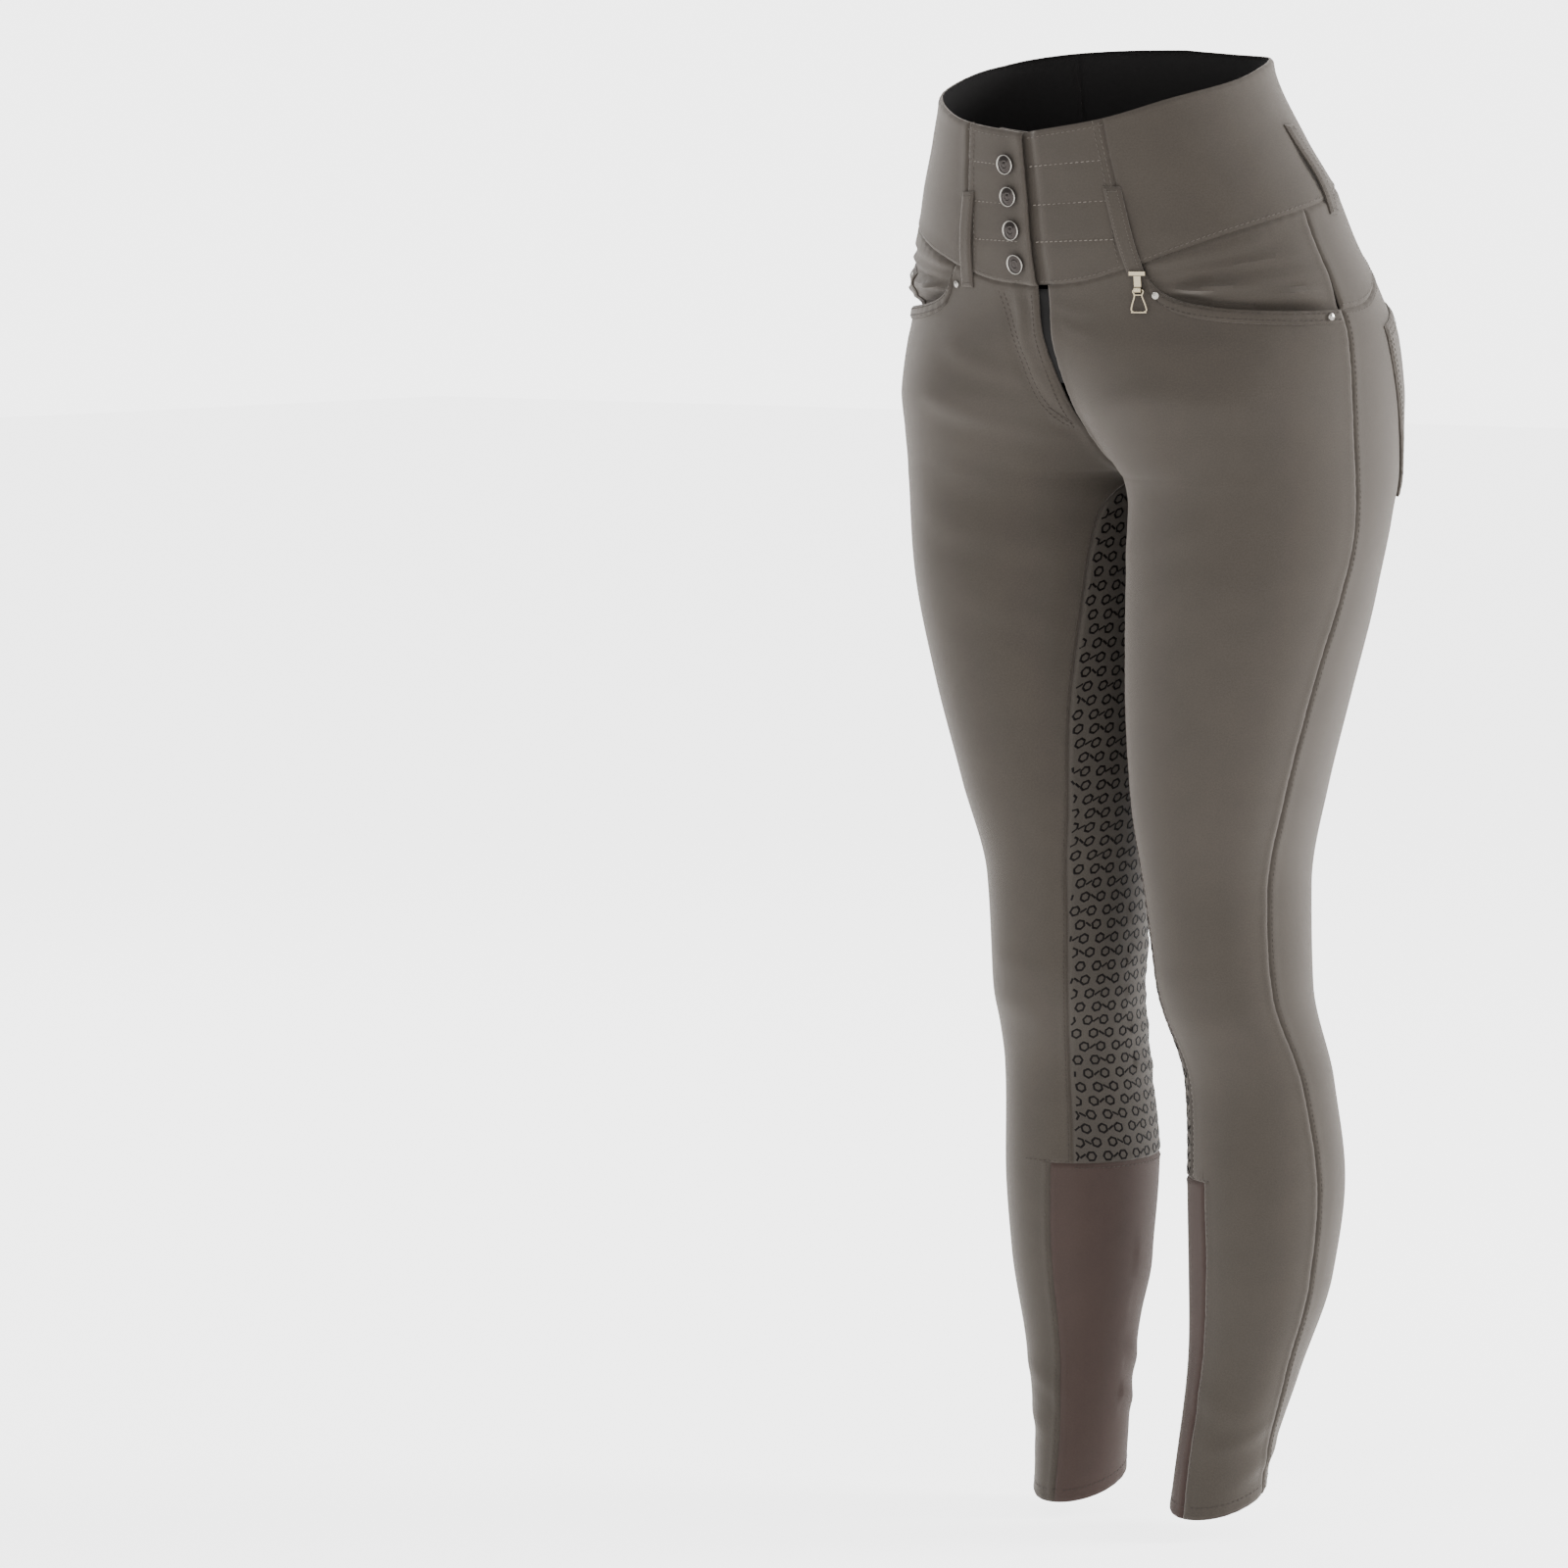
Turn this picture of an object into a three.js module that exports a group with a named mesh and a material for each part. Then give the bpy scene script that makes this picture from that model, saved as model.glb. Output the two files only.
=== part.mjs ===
// Riding breeches, worn and filled out, cut from separate panels of cloth.
// Units are mm. The origin is the middle of the waist, +Z is up, the front faces -Y,
// and the wearer's left is +X.
import * as THREE from 'three';

// Main sizes
const CROTCH_Z = -269;
const CALF_Z = -742;
const HEM_Z = -961;
const HEM_SLOPE = 10;
const CLOTH = 1.4;
const SEAM_GAP = 0.15;
const OVERLAY_GAP = 0.7;
const MIDDLE_ROUND = 8;
const LEG_SPREAD = 0.42;
const LOOP_WIDTH = 11;
const BUTTON_RADIUS = 6.8;
const RIVET_RADIUS = 3.4;

// A table's columns are read by name
function table(names, rows) {
  const list = names.split(' ');
  const out = {};
  list.forEach((name, k) => { out[name] = rows.map((row) => row[k]); });
  return out;
}

// A smooth line through the values of one column
function curve(xs, ys) {
  const order = xs.map((v, k) => k).sort((p, q) => xs[p] - xs[q]);
  const x = order.map((k) => xs[k]);
  const y = order.map((k) => ys[k]);
  const n = x.length;
  const step = [];
  for (let k = 0; k < n - 1; k += 1) step.push((y[k + 1] - y[k]) / (x[k + 1] - x[k]));
  const slope = [step[0]];
  for (let k = 1; k < n - 1; k += 1) {
    const h0 = x[k] - x[k - 1];
    const h1 = x[k + 1] - x[k];
    const w0 = 2 * h1 + h0;
    const w1 = h1 + 2 * h0;
    slope.push(step[k - 1] * step[k] > 0 ? (w0 + w1) / (w0 / step[k - 1] + w1 / step[k]) : 0);
  }
  slope.push(step[n - 2]);
  return (at) => {
    const v = Math.min(Math.max(at, x[0]), x[n - 1]);
    let k = 0;
    while (k < n - 2 && v > x[k + 1]) k += 1;
    const h = x[k + 1] - x[k];
    const t = (v - x[k]) / h;
    const s = 1 - t;
    return (1 + 2 * t) * s * s * y[k] + t * s * s * h * slope[k]
      + t * t * (3 - 2 * t) * y[k + 1] - t * t * s * h * slope[k + 1];
  };
}

// Body sections: half width, middle in depth, depth to the front and back, inner reach at the back
const TORSO = table('z outer mid front back inner', [
  [40, 116, -8, 94, 90, -116],
  [0, 119, 0, 96, 91, -119],
  [-46, 135, 12, 104, 99, -128],
  [-80, 151, 21, 108, 105, -124],
  [-113, 161, 26, 109, 110, -100],
  [-146, 171, 34, 110, 117, -76],
  [-179, 177, 40, 112, 124, -58],
  [-212, 178, 42, 112, 126, -44],
  [-240, 178, 43, 103, 117, -22],
  [-269, 178, 43, 93, 106, 8],
]);

// Front of the trunk below the waistband: how far each half reaches towards the other side
const FORK = table('z inner', [
  [-139, -169.2], [-146, -171.3], [-152, -171.8], [-160, -166], [-170, -140], [-180, -101], [-197, -60],
  [-213, -36.5], [-226, -25],
  [-235, -17.5], [-246.4, -9.8], [-257.5, -3.5], [-265.5, 2], [-269, 8],
]);

// Leg sections: outer reach, half gap between the legs, middle in depth, depth to front and back
const LEG = table('z outer gap mid front back', [
  [-269, 178, 0, 43, 93, 106],
  [-295, 177, 5.5, 41, 88, 99],
  [-345, 170, 6, 37, 84, 92],
  [-412, 153, 6, 36, 78, 83],
  [-478, 134, 8, 38, 71, 74],
  [-544, 119, 14, 44, 62, 64],
  [-611, 121, 19, 47, 54, 58],
  [-677, 127, 27, 66, 50, 53],
  [-744, 130, 26, 73, 55, 57],
  [-810, 124, 28, 70, 50, 51],
  [-876, 107, 31, 60, 38, 39],
  [-943, 91, 29, 48, 34, 34],
  [-990, 87, 27, 41, 34, 34],
]);
const torso = {};
for (const name of ['outer', 'mid', 'front', 'back', 'inner']) torso[name] = curve(TORSO.z, TORSO[name]);
const forkInner = curve(FORK.z, FORK.inner);
const leg = {};
for (const name of ['outer', 'gap', 'mid', 'front', 'back']) leg[name] = curve(LEG.z, LEG[name]);

function section(z) {
  const up = z > CROTCH_Z;
  const from = up ? torso : leg;
  const s = z - CROTCH_Z;
  const out = { outer: from.outer(z), mid: from.mid(z), front: from.front(z), back: from.back(z) };
  if (up) {
    out.innerFront = z < -139 ? forkInner(z) : -out.outer;
    const bend = MIDDLE_ROUND - LEG_SPREAD * 29 - torso.inner(CROTCH_Z + 29);
    out.innerBack = s < 29
      ? MIDDLE_ROUND - LEG_SPREAD * s - bend * Math.pow(Math.max(s, 0) / 29, 1.5)
      : torso.inner(z);
  } else {
    const far = Math.hypot(MIDDLE_ROUND, leg.gap(z));
    const near = MIDDLE_ROUND + LEG_SPREAD * 5 * (1 - Math.exp(Math.min(s, 0) / 5));
    const mix = Math.min(-s / 26, 1);
    out.innerFront = s > -26 ? near + (far - near) * mix * mix : far;
    out.innerBack = out.innerFront;
  }
  return out;
}

// One half ring at a height, with the distance run along it from the outer line
const rings = new Map();
function ring(z) {
  const key = Math.round(z * 1000);
  if (rings.has(key)) return rings.get(key);
  const sec = section(z);
  const made = {};
  for (const part of ['front', 'back']) {
    const inner = part === 'front' ? sec.innerFront : sec.innerBack;
    const centre = (sec.outer + inner) / 2;
    const half = (sec.outer - inner) / 2;
    const turn = part === 'front' ? -1 : 1;
    const reach = z > CROTCH_Z
      ? Math.acos(Math.min(Math.max((MIDDLE_ROUND - centre) / half, -1), 1))
      : Math.PI;
    const pts = [];
    const run = [0];
    for (let k = 0; k <= 160; k += 1) {
      const tau = 1 - k / 160;
      const a = reach * (1 - tau * tau);
      const wide = centre + half * Math.cos(a);
      const x = Math.sqrt(Math.max(wide * wide - MIDDLE_ROUND * MIDDLE_ROUND, 0));
      const y = sec.mid + turn * sec[part] * Math.sin(a);
      pts.push([x, y]);
      if (k > 0) run.push(run[k - 1] + Math.hypot(x - pts[k - 1][0], y - pts[k - 1][1]));
    }
    made[part] = { pts, run, length: run[160] };
  }
  rings.set(key, made);
  return made;
}

// Place on the body: t runs 0 at the side, 1 at the middle of the back or the inside of the leg,
// and -1 at the middle of the front. Past 1 or -1 it goes on over the middle or round the leg.
function settle(side, t, z) {
  let s = side;
  let u = t;
  if (u > 1) {
    u = z > CROTCH_Z ? 2 - u : u - 2;
    if (z > CROTCH_Z) s = -s;
  } else if (u < -1) {
    u = z > CROTCH_Z ? -2 - u : u + 2;
    if (z > CROTCH_Z) s = -s;
  }
  return [s, u];
}

function place(side, t, z) {
  const [s, u] = settle(side, t, z);
  const half = ring(z)[u < 0 ? 'front' : 'back'];
  const want = Math.abs(u) * half.length;
  let lo = 0;
  let hi = 160;
  while (hi - lo > 1) {
    const m = (lo + hi) >> 1;
    if (half.run[m] <= want) lo = m;
    else hi = m;
  }
  const f = (want - half.run[lo]) / Math.max(half.run[hi] - half.run[lo], 1e-9);
  const x = half.pts[lo][0] + (half.pts[hi][0] - half.pts[lo][0]) * f;
  const y = half.pts[lo][1] + (half.pts[hi][1] - half.pts[lo][1]) * f;
  return new THREE.Vector3(s * x, y, z);
}

function span(t, z) {
  const folded = t > 1 || t < -1 ? settle(1, t, z)[1] : t;
  return ring(z)[folded < 0 ? 'front' : 'back'].length;
}

function outward(side, t, z) {
  const dt = 3 / span(t, z);
  const along = place(side, t + dt, z).sub(place(side, t - dt, z));
  const up = place(side, t, z + 3).sub(place(side, t, z - 3));
  return along.cross(up).multiplyScalar(side).normalize();
}

// Seam and edge lines, as t against height or height against t
function line(names, rows) {
  const cols = table(names, rows);
  const [a, b] = names.split(' ');
  return curve(cols[a], cols[b]);
}
const sideSeam = {
  l: line('z t', [[-95, -0.07], [-152, -0.055], [-235, -0.045], [-310, -0.02], [-390, -0.06],
    [-480, -0.088], [-585, -0.13], [-660, -0.1], [-755, -0.06], [-845, -0.05], [-900, 0], [-970, 0.13]]),
  r: line('z t', [[-92, 0.07], [-150, 0.05], [-235, 0.03], [-310, 0.025], [-395, 0.02],
    [-465, 0], [-540, -0.02], [-600, -0.02], [-717, -0.05], [-802, -0.02], [-902, 0.06], [-970, 0.08]]),
};
const innerFrontSeam = line('z t', [[CROTCH_Z, -1], [-279, -0.93], [-290, -0.888], [-300, -0.872], [-352, -0.838],
  [-435, -0.775], [-487, -0.75], [-542, -0.715], [-610, -0.713], [-690, -0.675], [CALF_Z, -0.675]]);
const gripBackSeam = line('z t', [[-235, 0.47], [-285, 0.46], [-370, 0.49], [-440, 0.495],
  [-540, 0.495], [-610, 0.485], [-650, 0.51], [-700, 0.56], [CALF_Z, 0.575]]);
const calfBackSeam = line('z t', [[CALF_Z, 0.575], [-790, 0.58], [-850, 0.6], [-905, 0.61], [-980, 0.63]]);
const calfFrontSeam = line('z t', [[CALF_Z, -0.58], [-800, -0.57], [-875, -0.58], [-980, -0.53]]);
const rimLine = line('t z', [[-1, -42], [-0.7, -34], [-0.4, -20], [-0.1, -8], [0.1, 1],
  [0.3, 7], [0.5, 10], [0.75, 12], [1, 13.5]]);
const bandLine = line('t z', [[-1, -142], [-0.85, -139], [-0.68, -130], [-0.34, -107], [0, -89],
  [0.24, -80], [0.4, -75], [0.6, -72], [0.8, -76], [1, -78]]);
const yokeLine = line('t z', [[-0.08, -158], [0.05, -154], [0.24, -137], [0.39, -122], [0.54, -113],
  [0.72, -110], [0.87, -113], [1, -117]]);
const pocketLine = line('t z', [[-0.645, -128.5], [-0.615, -139], [-0.588, -146], [-0.54, -151],
  [-0.488, -153.5], [-0.388, -156], [-0.2, -157.5], [0, -156.5], [0.1, -156]]);
const flyGap = line('z gap', [[-135, 0.8], [-150, 4], [-175, 5], [-195, 4.5], [-215, 2], [-238, SEAM_GAP]]);
const archLine = line('t z', [[0.46, -240], [0.52, -222], [0.6, -200], [0.7, -181], [0.8, -172], [0.9, -168], [1, -167]]);

const fold = (t) => (t > 1 ? 2 - t : (t < -1 ? -2 - t : t));
const rimFor = (side) => (t) => {
  const right = t > 1 || t < -1 ? side : -side;
  return rimLine(fold(t)) + right * 2.2 * Math.sin(Math.PI * Math.min(Math.max((fold(t) - 0.2) / 0.8, 0), 1));
};
const band = (t) => bandLine(fold(t));
const hemFor = (side) => (t) => HEM_Z + HEM_SLOPE * Math.sin(Math.PI * t) - (side < 0 ? 4 : 0);
const flat = (v) => () => v;
const mixLines = (f, g, k) => (v) => f(v) + (g(v) - f(v)) * k;
const smooth = (v) => {
  const t = Math.min(Math.max(v, 0), 1);
  return t * t * (3 - 2 * t);
};

// Lines spaced evenly from one line to the next
function spread(lines, counts) {
  const out = [lines[0]];
  for (let k = 0; k < counts.length; k += 1) {
    for (let i = 1; i <= counts[k]; i += 1) out.push(mixLines(lines[k], lines[k + 1], i / counts[k]));
  }
  return out;
}

const group = new THREE.Group();
group.name = 'riding_breeches';

function add(name, geometry, colour, metal) {
  const material = new THREE.MeshStandardMaterial({
    color: colour, metalness: metal ? 0.9 : 0, roughness: metal ? 0.35 : 0.85,
  });
  const mesh = new THREE.Mesh(geometry, material);
  mesh.name = name;
  group.add(mesh);
}

const CLOTH_COLOUR = 0x6b615b;
const GRIP_COLOUR = 0x5f5651;
const CALF_COLOUR = 0x54484a;
const LEATHER_COLOUR = 0x6e2c0c;
const METAL_COLOUR = 0xb9b2a6;

// A piece of cloth where column lines cross row lines, with both faces and all its edges
function cloth(name, side, spec) {
  const { cols, rows } = spec;
  const thick = spec.thick || CLOTH;
  const lift = spec.lift || (() => 0);
  const skip = spec.skip || (() => false);
  const nc = cols.length - 1;
  const nr = rows.length - 1;
  const has = (i, j) => i >= 0 && j >= 0 && i < nr && j < nc && !skip(i, j);
  const spots = new Map();
  const outer = [];
  const inner = [];
  function spot(i, j) {
    const key = i * 1000 + j;
    if (spots.has(key)) return spots.get(key);
    let z = (rows[i](0) + rows[i](0.5)) / 2;
    let t = cols[j](z);
    for (let k = 0; k < 14; k += 1) {
      z = rows[i](t);
      t = cols[j](z);
    }
    if (spec.inLengths) t /= span(0.5, z);
    const open = (di, dj) => !has(i + di, j + dj);
    const wide = span(t, z);
    const lean = Math.min(Math.abs(cols[j](z + 2) - cols[j](z - 2)) / 4 * wide, 2);
    const gap = SEAM_GAP * Math.hypot(1, lean) / wide;
    const tilt = Math.min(Math.abs(rows[i](t + 0.01) - rows[i](t - 0.01)) / 0.02 / wide, 2);
    const drop = SEAM_GAP * Math.hypot(1, tilt);
    if (open(0, -1) && open(-1, -1)) t += gap;
    if (open(0, 0) && open(-1, 0)) t -= gap;
    let dz = 0;
    if (open(-1, 0) && open(-1, -1)) dz = drop;
    if (open(0, 0) && open(0, -1)) dz = -drop;
    const p = place(side, t, z);
    const n = outward(side, t, z);
    p.z += dz;
    const up = lift(t, z);
    outer.push(p.clone().addScaledVector(n, up));
    inner.push(p.clone().addScaledVector(n, up - thick));
    spots.set(key, outer.length - 1);
    return outer.length - 1;
  }
  const faces = [];
  for (let i = 0; i < nr; i += 1) {
    for (let j = 0; j < nc; j += 1) {
      if (!has(i, j)) continue;
      const q = [spot(i, j), spot(i, j + 1), spot(i + 1, j + 1), spot(i + 1, j)];
      if (side < 0) q.reverse();
      const d0 = outer[q[0]].distanceTo(outer[q[2]]);
      const d1 = outer[q[1]].distanceTo(outer[q[3]]);
      if (d0 < d1) faces.push([q[0], q[1], q[2]], [q[0], q[2], q[3]]);
      else faces.push([q[1], q[2], q[3]], [q[1], q[3], q[0]]);
    }
  }
  const count = outer.length;
  const index = [];
  const edges = new Set();
  for (const f of faces) {
    index.push(f[0], f[1], f[2]);
    index.push(f[2] + count, f[1] + count, f[0] + count);
    for (let k = 0; k < 3; k += 1) edges.add(`${f[k]}_${f[(k + 1) % 3]}`);
  }
  for (const edge of edges) {
    const [a, b] = edge.split('_').map(Number);
    if (edges.has(`${b}_${a}`)) continue;
    index.push(b, a, a + count, b, a + count, b + count);
  }
  const positions = [];
  for (const p of outer.concat(inner)) positions.push(p.x, p.y, p.z);
  const geometry = new THREE.BufferGeometry();
  geometry.setAttribute('position', new THREE.Float32BufferAttribute(positions, 3));
  geometry.setIndex(index);
  geometry.computeVertexNormals();
  add(name, geometry, spec.colour || CLOTH_COLOUR, false);
}

// Legs and seat, the same rows of the grid for every panel of a leg
const calfLevel = flat(CALF_Z);
const crotchLevel = flat(CROTCH_Z);
const forkLevel = flat(-300);
const ROWS_CALF = 11;
const ROWS_LEG = 22;
const ROWS_FORK = 3;
for (const [tag, side] of [['l', 1], ['r', -1]]) {
  const hem = hemFor(side);
  const seam = sideSeam[tag];
  const frontEdge = (z) => {
    const fork = 0.4 * smooth((z + 292) / 12) * smooth((-225 - z) / 20) / span(-0.9, z);
    if (z < CROTCH_Z) return innerFrontSeam(z) + fork;
    return -1 + fork + (side > 0 ? (flyGap(z) - SEAM_GAP) / span(-0.9, z) : 0);
  };
  const stepWidth = calfFrontSeam(CALF_Z) - innerFrontSeam(CALF_Z);
  const second = (z) => (z < CALF_Z + 0.01 ? calfFrontSeam(z) : frontEdge(z) + stepWidth);
  const pocketStart = side > 0 ? 0.29 : 0.275;
  const cornerLine = mixLines(second, seam, pocketStart);
  const bendLine = mixLines(second, seam, pocketStart + 0.13);
  const frontTop = (t) => (t < -0.645 ? band(t) : pocketLine(t));
  cloth(`front_panel_${tag}`, side, {
    cols: [frontEdge].concat(spread([second, cornerLine, bendLine, seam], [3, 3, 5])),
    rows: spread([hem, calfLevel, forkLevel, crotchLevel, frontTop], [ROWS_CALF, ROWS_LEG, ROWS_FORK, 7]),
    skip: (i, j) => j === 0 && i < ROWS_CALF,
  });

  const gripBack = (z) => (z < CALF_Z + 0.01 ? calfBackSeam(z) : gripBackSeam(z));
  const archReach = (t) => (t < 0.46 ? -240 : archLine(t));
  const middle = (z) => (z > CROTCH_Z - 0.001 ? 1 : 2 + innerFrontSeam(z));
  cloth(`grip_panel_${tag}`, side, {
    cols: spread([gripBack, middle], [9]),
    rows: spread([calfLevel, forkLevel, crotchLevel, archReach], [ROWS_LEG, ROWS_FORK, 4]),
    colour: GRIP_COLOUR,
  });
  const ROWS_LOW = ROWS_CALF + ROWS_LEG + ROWS_FORK + 4;
  cloth(`back_panel_${tag}`, side, {
    cols: spread([seam, gripBack, flat(1)], [6, 9]),
    rows: spread([hem, calfLevel, forkLevel, crotchLevel, archReach, yokeLine],
      [ROWS_CALF, ROWS_LEG, ROWS_FORK, 4, 4]),
    skip: (i, j) => j >= 6 && i < ROWS_LOW,
  });
  cloth(`calf_panel_${tag}`, side, {
    cols: spread([calfBackSeam, flat(1), (z) => 2 + calfFrontSeam(z)], [5, 6]),
    rows: spread([hem, calfLevel], [ROWS_CALF]),
    colour: CALF_COLOUR,
  });
  cloth(`yoke_${tag}`, side, {
    cols: spread([seam, gripBack, flat(1)], [6, 9]),
    rows: spread([yokeLine, band], [3]),
  });

  // Front pocket: the facing behind the opening and the turned band along its edge
  const settleIn = (t, z) => -2.4 + 2.4 * smooth((z - pocketLine(t) - 4) / 30);
  cloth(`pocket_facing_${tag}`, side, {
    cols: spread([flat(-0.636), flat(-0.55), seam], [3, 6]),
    rows: spread([(t) => pocketLine(t) - 14, pocketLine, band], [1, 4]),
    lift: settleIn,
    thick: 1.2,
  });
  cloth(`pocket_trim_${tag}`, side, {
    cols: spread([flat(-0.628), flat(-0.54), (z) => seam(z) - 0.01], [6, 7]),
    rows: [(t) => pocketLine(t) - 9, (t) => pocketLine(t) - 0.8],
    lift: flat(OVERLAY_GAP + 1.15),
    thick: 1,
  });

  // Back pocket, a five sided patch, with its lines in mm from the side
  const pocketOuter = line('z across', [[-168, side > 0 ? 34 : 53], [-283, side > 0 ? 74 : 96]]);
  const pocketInner = line('z across', [[-134, 181], [-180, 205], [-240, 214]]);
  const pocketTop = line('across z', [[33, -170], [120, -147], [190, -133]]);
  const pocketFoot = line('across z', [[60, -283], [158, -284], [166, -282], [190, -261], [214, -240]]);
  cloth(`back_pocket_${tag}`, side, {
    inLengths: true,
    cols: spread([pocketOuter, pocketInner], [10]),
    rows: spread([pocketFoot, pocketTop], [9]),
    lift: (t, z) => OVERLAY_GAP + 1.3 + 0.8 * smooth((-225 - z) / 20),
    thick: 1.3,
  });
}

// Waistband: two fronts, of which the wearer's left runs on under the buttoned flap, two sides and a back
const frontSplit = { l: -0.675, r: -0.725 };
const backSplit = { l: 0.36, r: 0.51 };
cloth('waistband_front_l', 1, {
  cols: spread([flat(-1.13), flat(-1.01), flat(-0.98), flat(frontSplit.l)], [2, 1, 4]),
  rows: spread([band, rimFor(1)], [6]),
  lift: (t) => -2.2 * smooth((-0.98 - t) / 0.03),
});
cloth('waistband_front_r', -1, {
  cols: spread([flat(-1), flat(frontSplit.r)], [4]),
  rows: spread([band, rimFor(-1)], [6]),
});
for (const [tag, side] of [['l', 1], ['r', -1]]) {
  cloth(`waistband_side_${tag}`, side, {
    cols: spread([flat(frontSplit[tag]), flat(backSplit[tag])], [13]),
    rows: spread([band, rimFor(side)], [5]),
  });
}
cloth('waistband_back', 1, {
  cols: spread([flat(backSplit.l), flat(2 - backSplit.r)], [14]),
  rows: spread([band, rimFor(1)], [5]),
});

// Shield behind the fly opening
cloth('fly_shield', 1, {
  cols: spread([flat(-1.08), flat(-1), flat(-0.93)], [3, 3]),
  rows: spread([flat(-208), flat(-144.5)], [5]),
  lift: flat(-2.7),
  thick: 1.2,
});

// Small pocket on the wearer's right facing
cloth('coin_pocket_r', -1, {
  cols: spread([flat(-0.34), flat(-0.03)], [5]),
  rows: spread([(t) => pocketLine(t) + 0.8, (t) => -117 + (t + 0.03) * 58], [2]),
  lift: (t, z) => -2.4 + 2.4 * smooth((z - pocketLine(t) - 4) / 30) + OVERLAY_GAP + 1,
  thick: 1,
});

// Leather label with nothing on it, on the wearer's right back pocket
cloth('leather_patch', -1, {
  cols: spread([flat(0.315), flat(0.425)], [2]),
  rows: spread([(t) => -198 + 18 * (t - 0.37), (t) => -168 + 18 * (t - 0.37)], [2]),
  lift: flat(OVERLAY_GAP + 1.3 + 0.6 + 1.2),
  thick: 1.2,
  colour: LEATHER_COLOUR,
});

// Belt loops, sewn down at both ends and standing off a little between
const LOOPS = [
  { name: 'loop_front_l', side: 1, topT: -0.69, topZ: -77, footT: -0.655, footZ: -135 },
  { name: 'loop_front_r', side: -1, topT: -0.735, topZ: -80, footT: -0.705, footZ: -143 },
  { name: 'loop_side_l', side: 1, topT: 0.065, topZ: -38, footT: 0.08, footZ: -96 },
  { name: 'loop_side_r', side: -1, topT: 0.265, topZ: -35, footT: 0.3, footZ: -93 },
  { name: 'loop_back', side: 1, topT: 0.975, topZ: -30, footT: 0.965, footZ: -86 },
];
for (const item of LOOPS) {
  const mid = (z) => {
    const k = (z - item.footZ) / (item.topZ - item.footZ);
    return item.footT + (item.topT - item.footT) * k;
  };
  const half = (z) => LOOP_WIDTH / 2 / span(mid(z), z);
  cloth(item.name, item.side, {
    cols: spread([(z) => mid(z) - half(z), (z) => mid(z) + half(z)], [1]),
    rows: spread([flat(item.footZ), flat(item.topZ)], [6]),
    lift: (t, z) => {
      const k = (z - item.footZ) / (item.topZ - item.footZ);
      return OVERLAY_GAP + 1.2 + 1.5 * Math.sin(Math.PI * Math.min(Math.max(k, 0), 1));
    },
    thick: 1.2,
  });
}

// Round metal fittings, turned on their own axis and set square to the cloth
function turned(name, side, t, z, base, profile, sides) {
  const geometry = new THREE.LatheGeometry(profile.map((p) => new THREE.Vector2(p[0], p[1])), sides);
  const n = outward(side, t, z);
  const turn = new THREE.Quaternion().setFromUnitVectors(new THREE.Vector3(0, 1, 0), n);
  geometry.applyQuaternion(turn);
  const at = place(side, t, z).addScaledVector(n, base);
  geometry.translate(at.x, at.y, at.z);
  add(name, geometry, METAL_COLOUR, true);
}
const R = BUTTON_RADIUS;
const BUTTON_PROFILE = [
  [0, 0], [R * 0.72, 0], [R, 1.1], [R, 1.9], [R * 0.86, 2.5], [R * 0.68, 2.1], [R * 0.4, 2.7], [0, 2.9],
];
const BUTTON_HEIGHTS = [-62, -83, -105, -127];
BUTTON_HEIGHTS.forEach((z, k) => {
  turned(`button_${k + 1}`, -1, -0.925 - 0.004 * k, z, 0.45, BUTTON_PROFILE, 18);
});
const Q = RIVET_RADIUS;
const RIVET_PROFILE = [[0, 0], [Q, 0], [Q, 0.5], [Q * 0.6, 1.1], [0, 1.3]];
const RIVETS = [
  { name: 'rivet_pocket_front_l', side: 1, t: -0.608, z: -147, base: 0.4 + OVERLAY_GAP + 1 },
  { name: 'rivet_pocket_side_l', side: 1, t: -0.11, z: -162, base: 0.4 + OVERLAY_GAP + 1 },
  { name: 'rivet_pocket_front_r', side: -1, t: -0.655, z: -141, base: 0.4 },
  { name: 'rivet_pocket_side_r', side: -1, t: -0.005, z: -162, base: 0.4 + OVERLAY_GAP + 1 },
  { name: 'rivet_coin_front', side: -1, t: -0.31, z: -137, base: 1.7 },
  { name: 'rivet_coin_back', side: -1, t: -0.06, z: -123, base: 2.15 },
];
for (const r of RIVETS) turned(r.name, r.side, r.t, r.z, r.base, RIVET_PROFILE, 12);

// Stirrup charm on the wearer's left front belt loop, hung from a hooked clip
const CHARM = { side: 1, t: -0.656, z: -143, stand: 3.15 };
const hangAt = place(CHARM.side, CHARM.t, CHARM.z);
const out = outward(CHARM.side, CHARM.t, CHARM.z);
const across = new THREE.Vector3(-out.y, out.x, 0).normalize();
const rise = new THREE.Vector3().crossVectors(out, across).normalize();
hangAt.addScaledVector(out, CHARM.stand);
function setOnCloth(geometry, xDir, yDir, zDir) {
  geometry.applyMatrix4(new THREE.Matrix4().makeBasis(xDir, yDir, zDir).setPosition(hangAt));
  return geometry;
}
const BAR = 0.7;
const RING_IN = 1.2;
const RING_OUT = 2.1;
const CLIP_HALF = 2.4;
function extrude(shape, depth, segments) {
  const geometry = new THREE.ExtrudeGeometry(shape, {
    depth, bevelEnabled: false, curveSegments: segments, steps: 1,
  });
  geometry.translate(0, 0, -depth / 2);
  return geometry;
}
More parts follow.
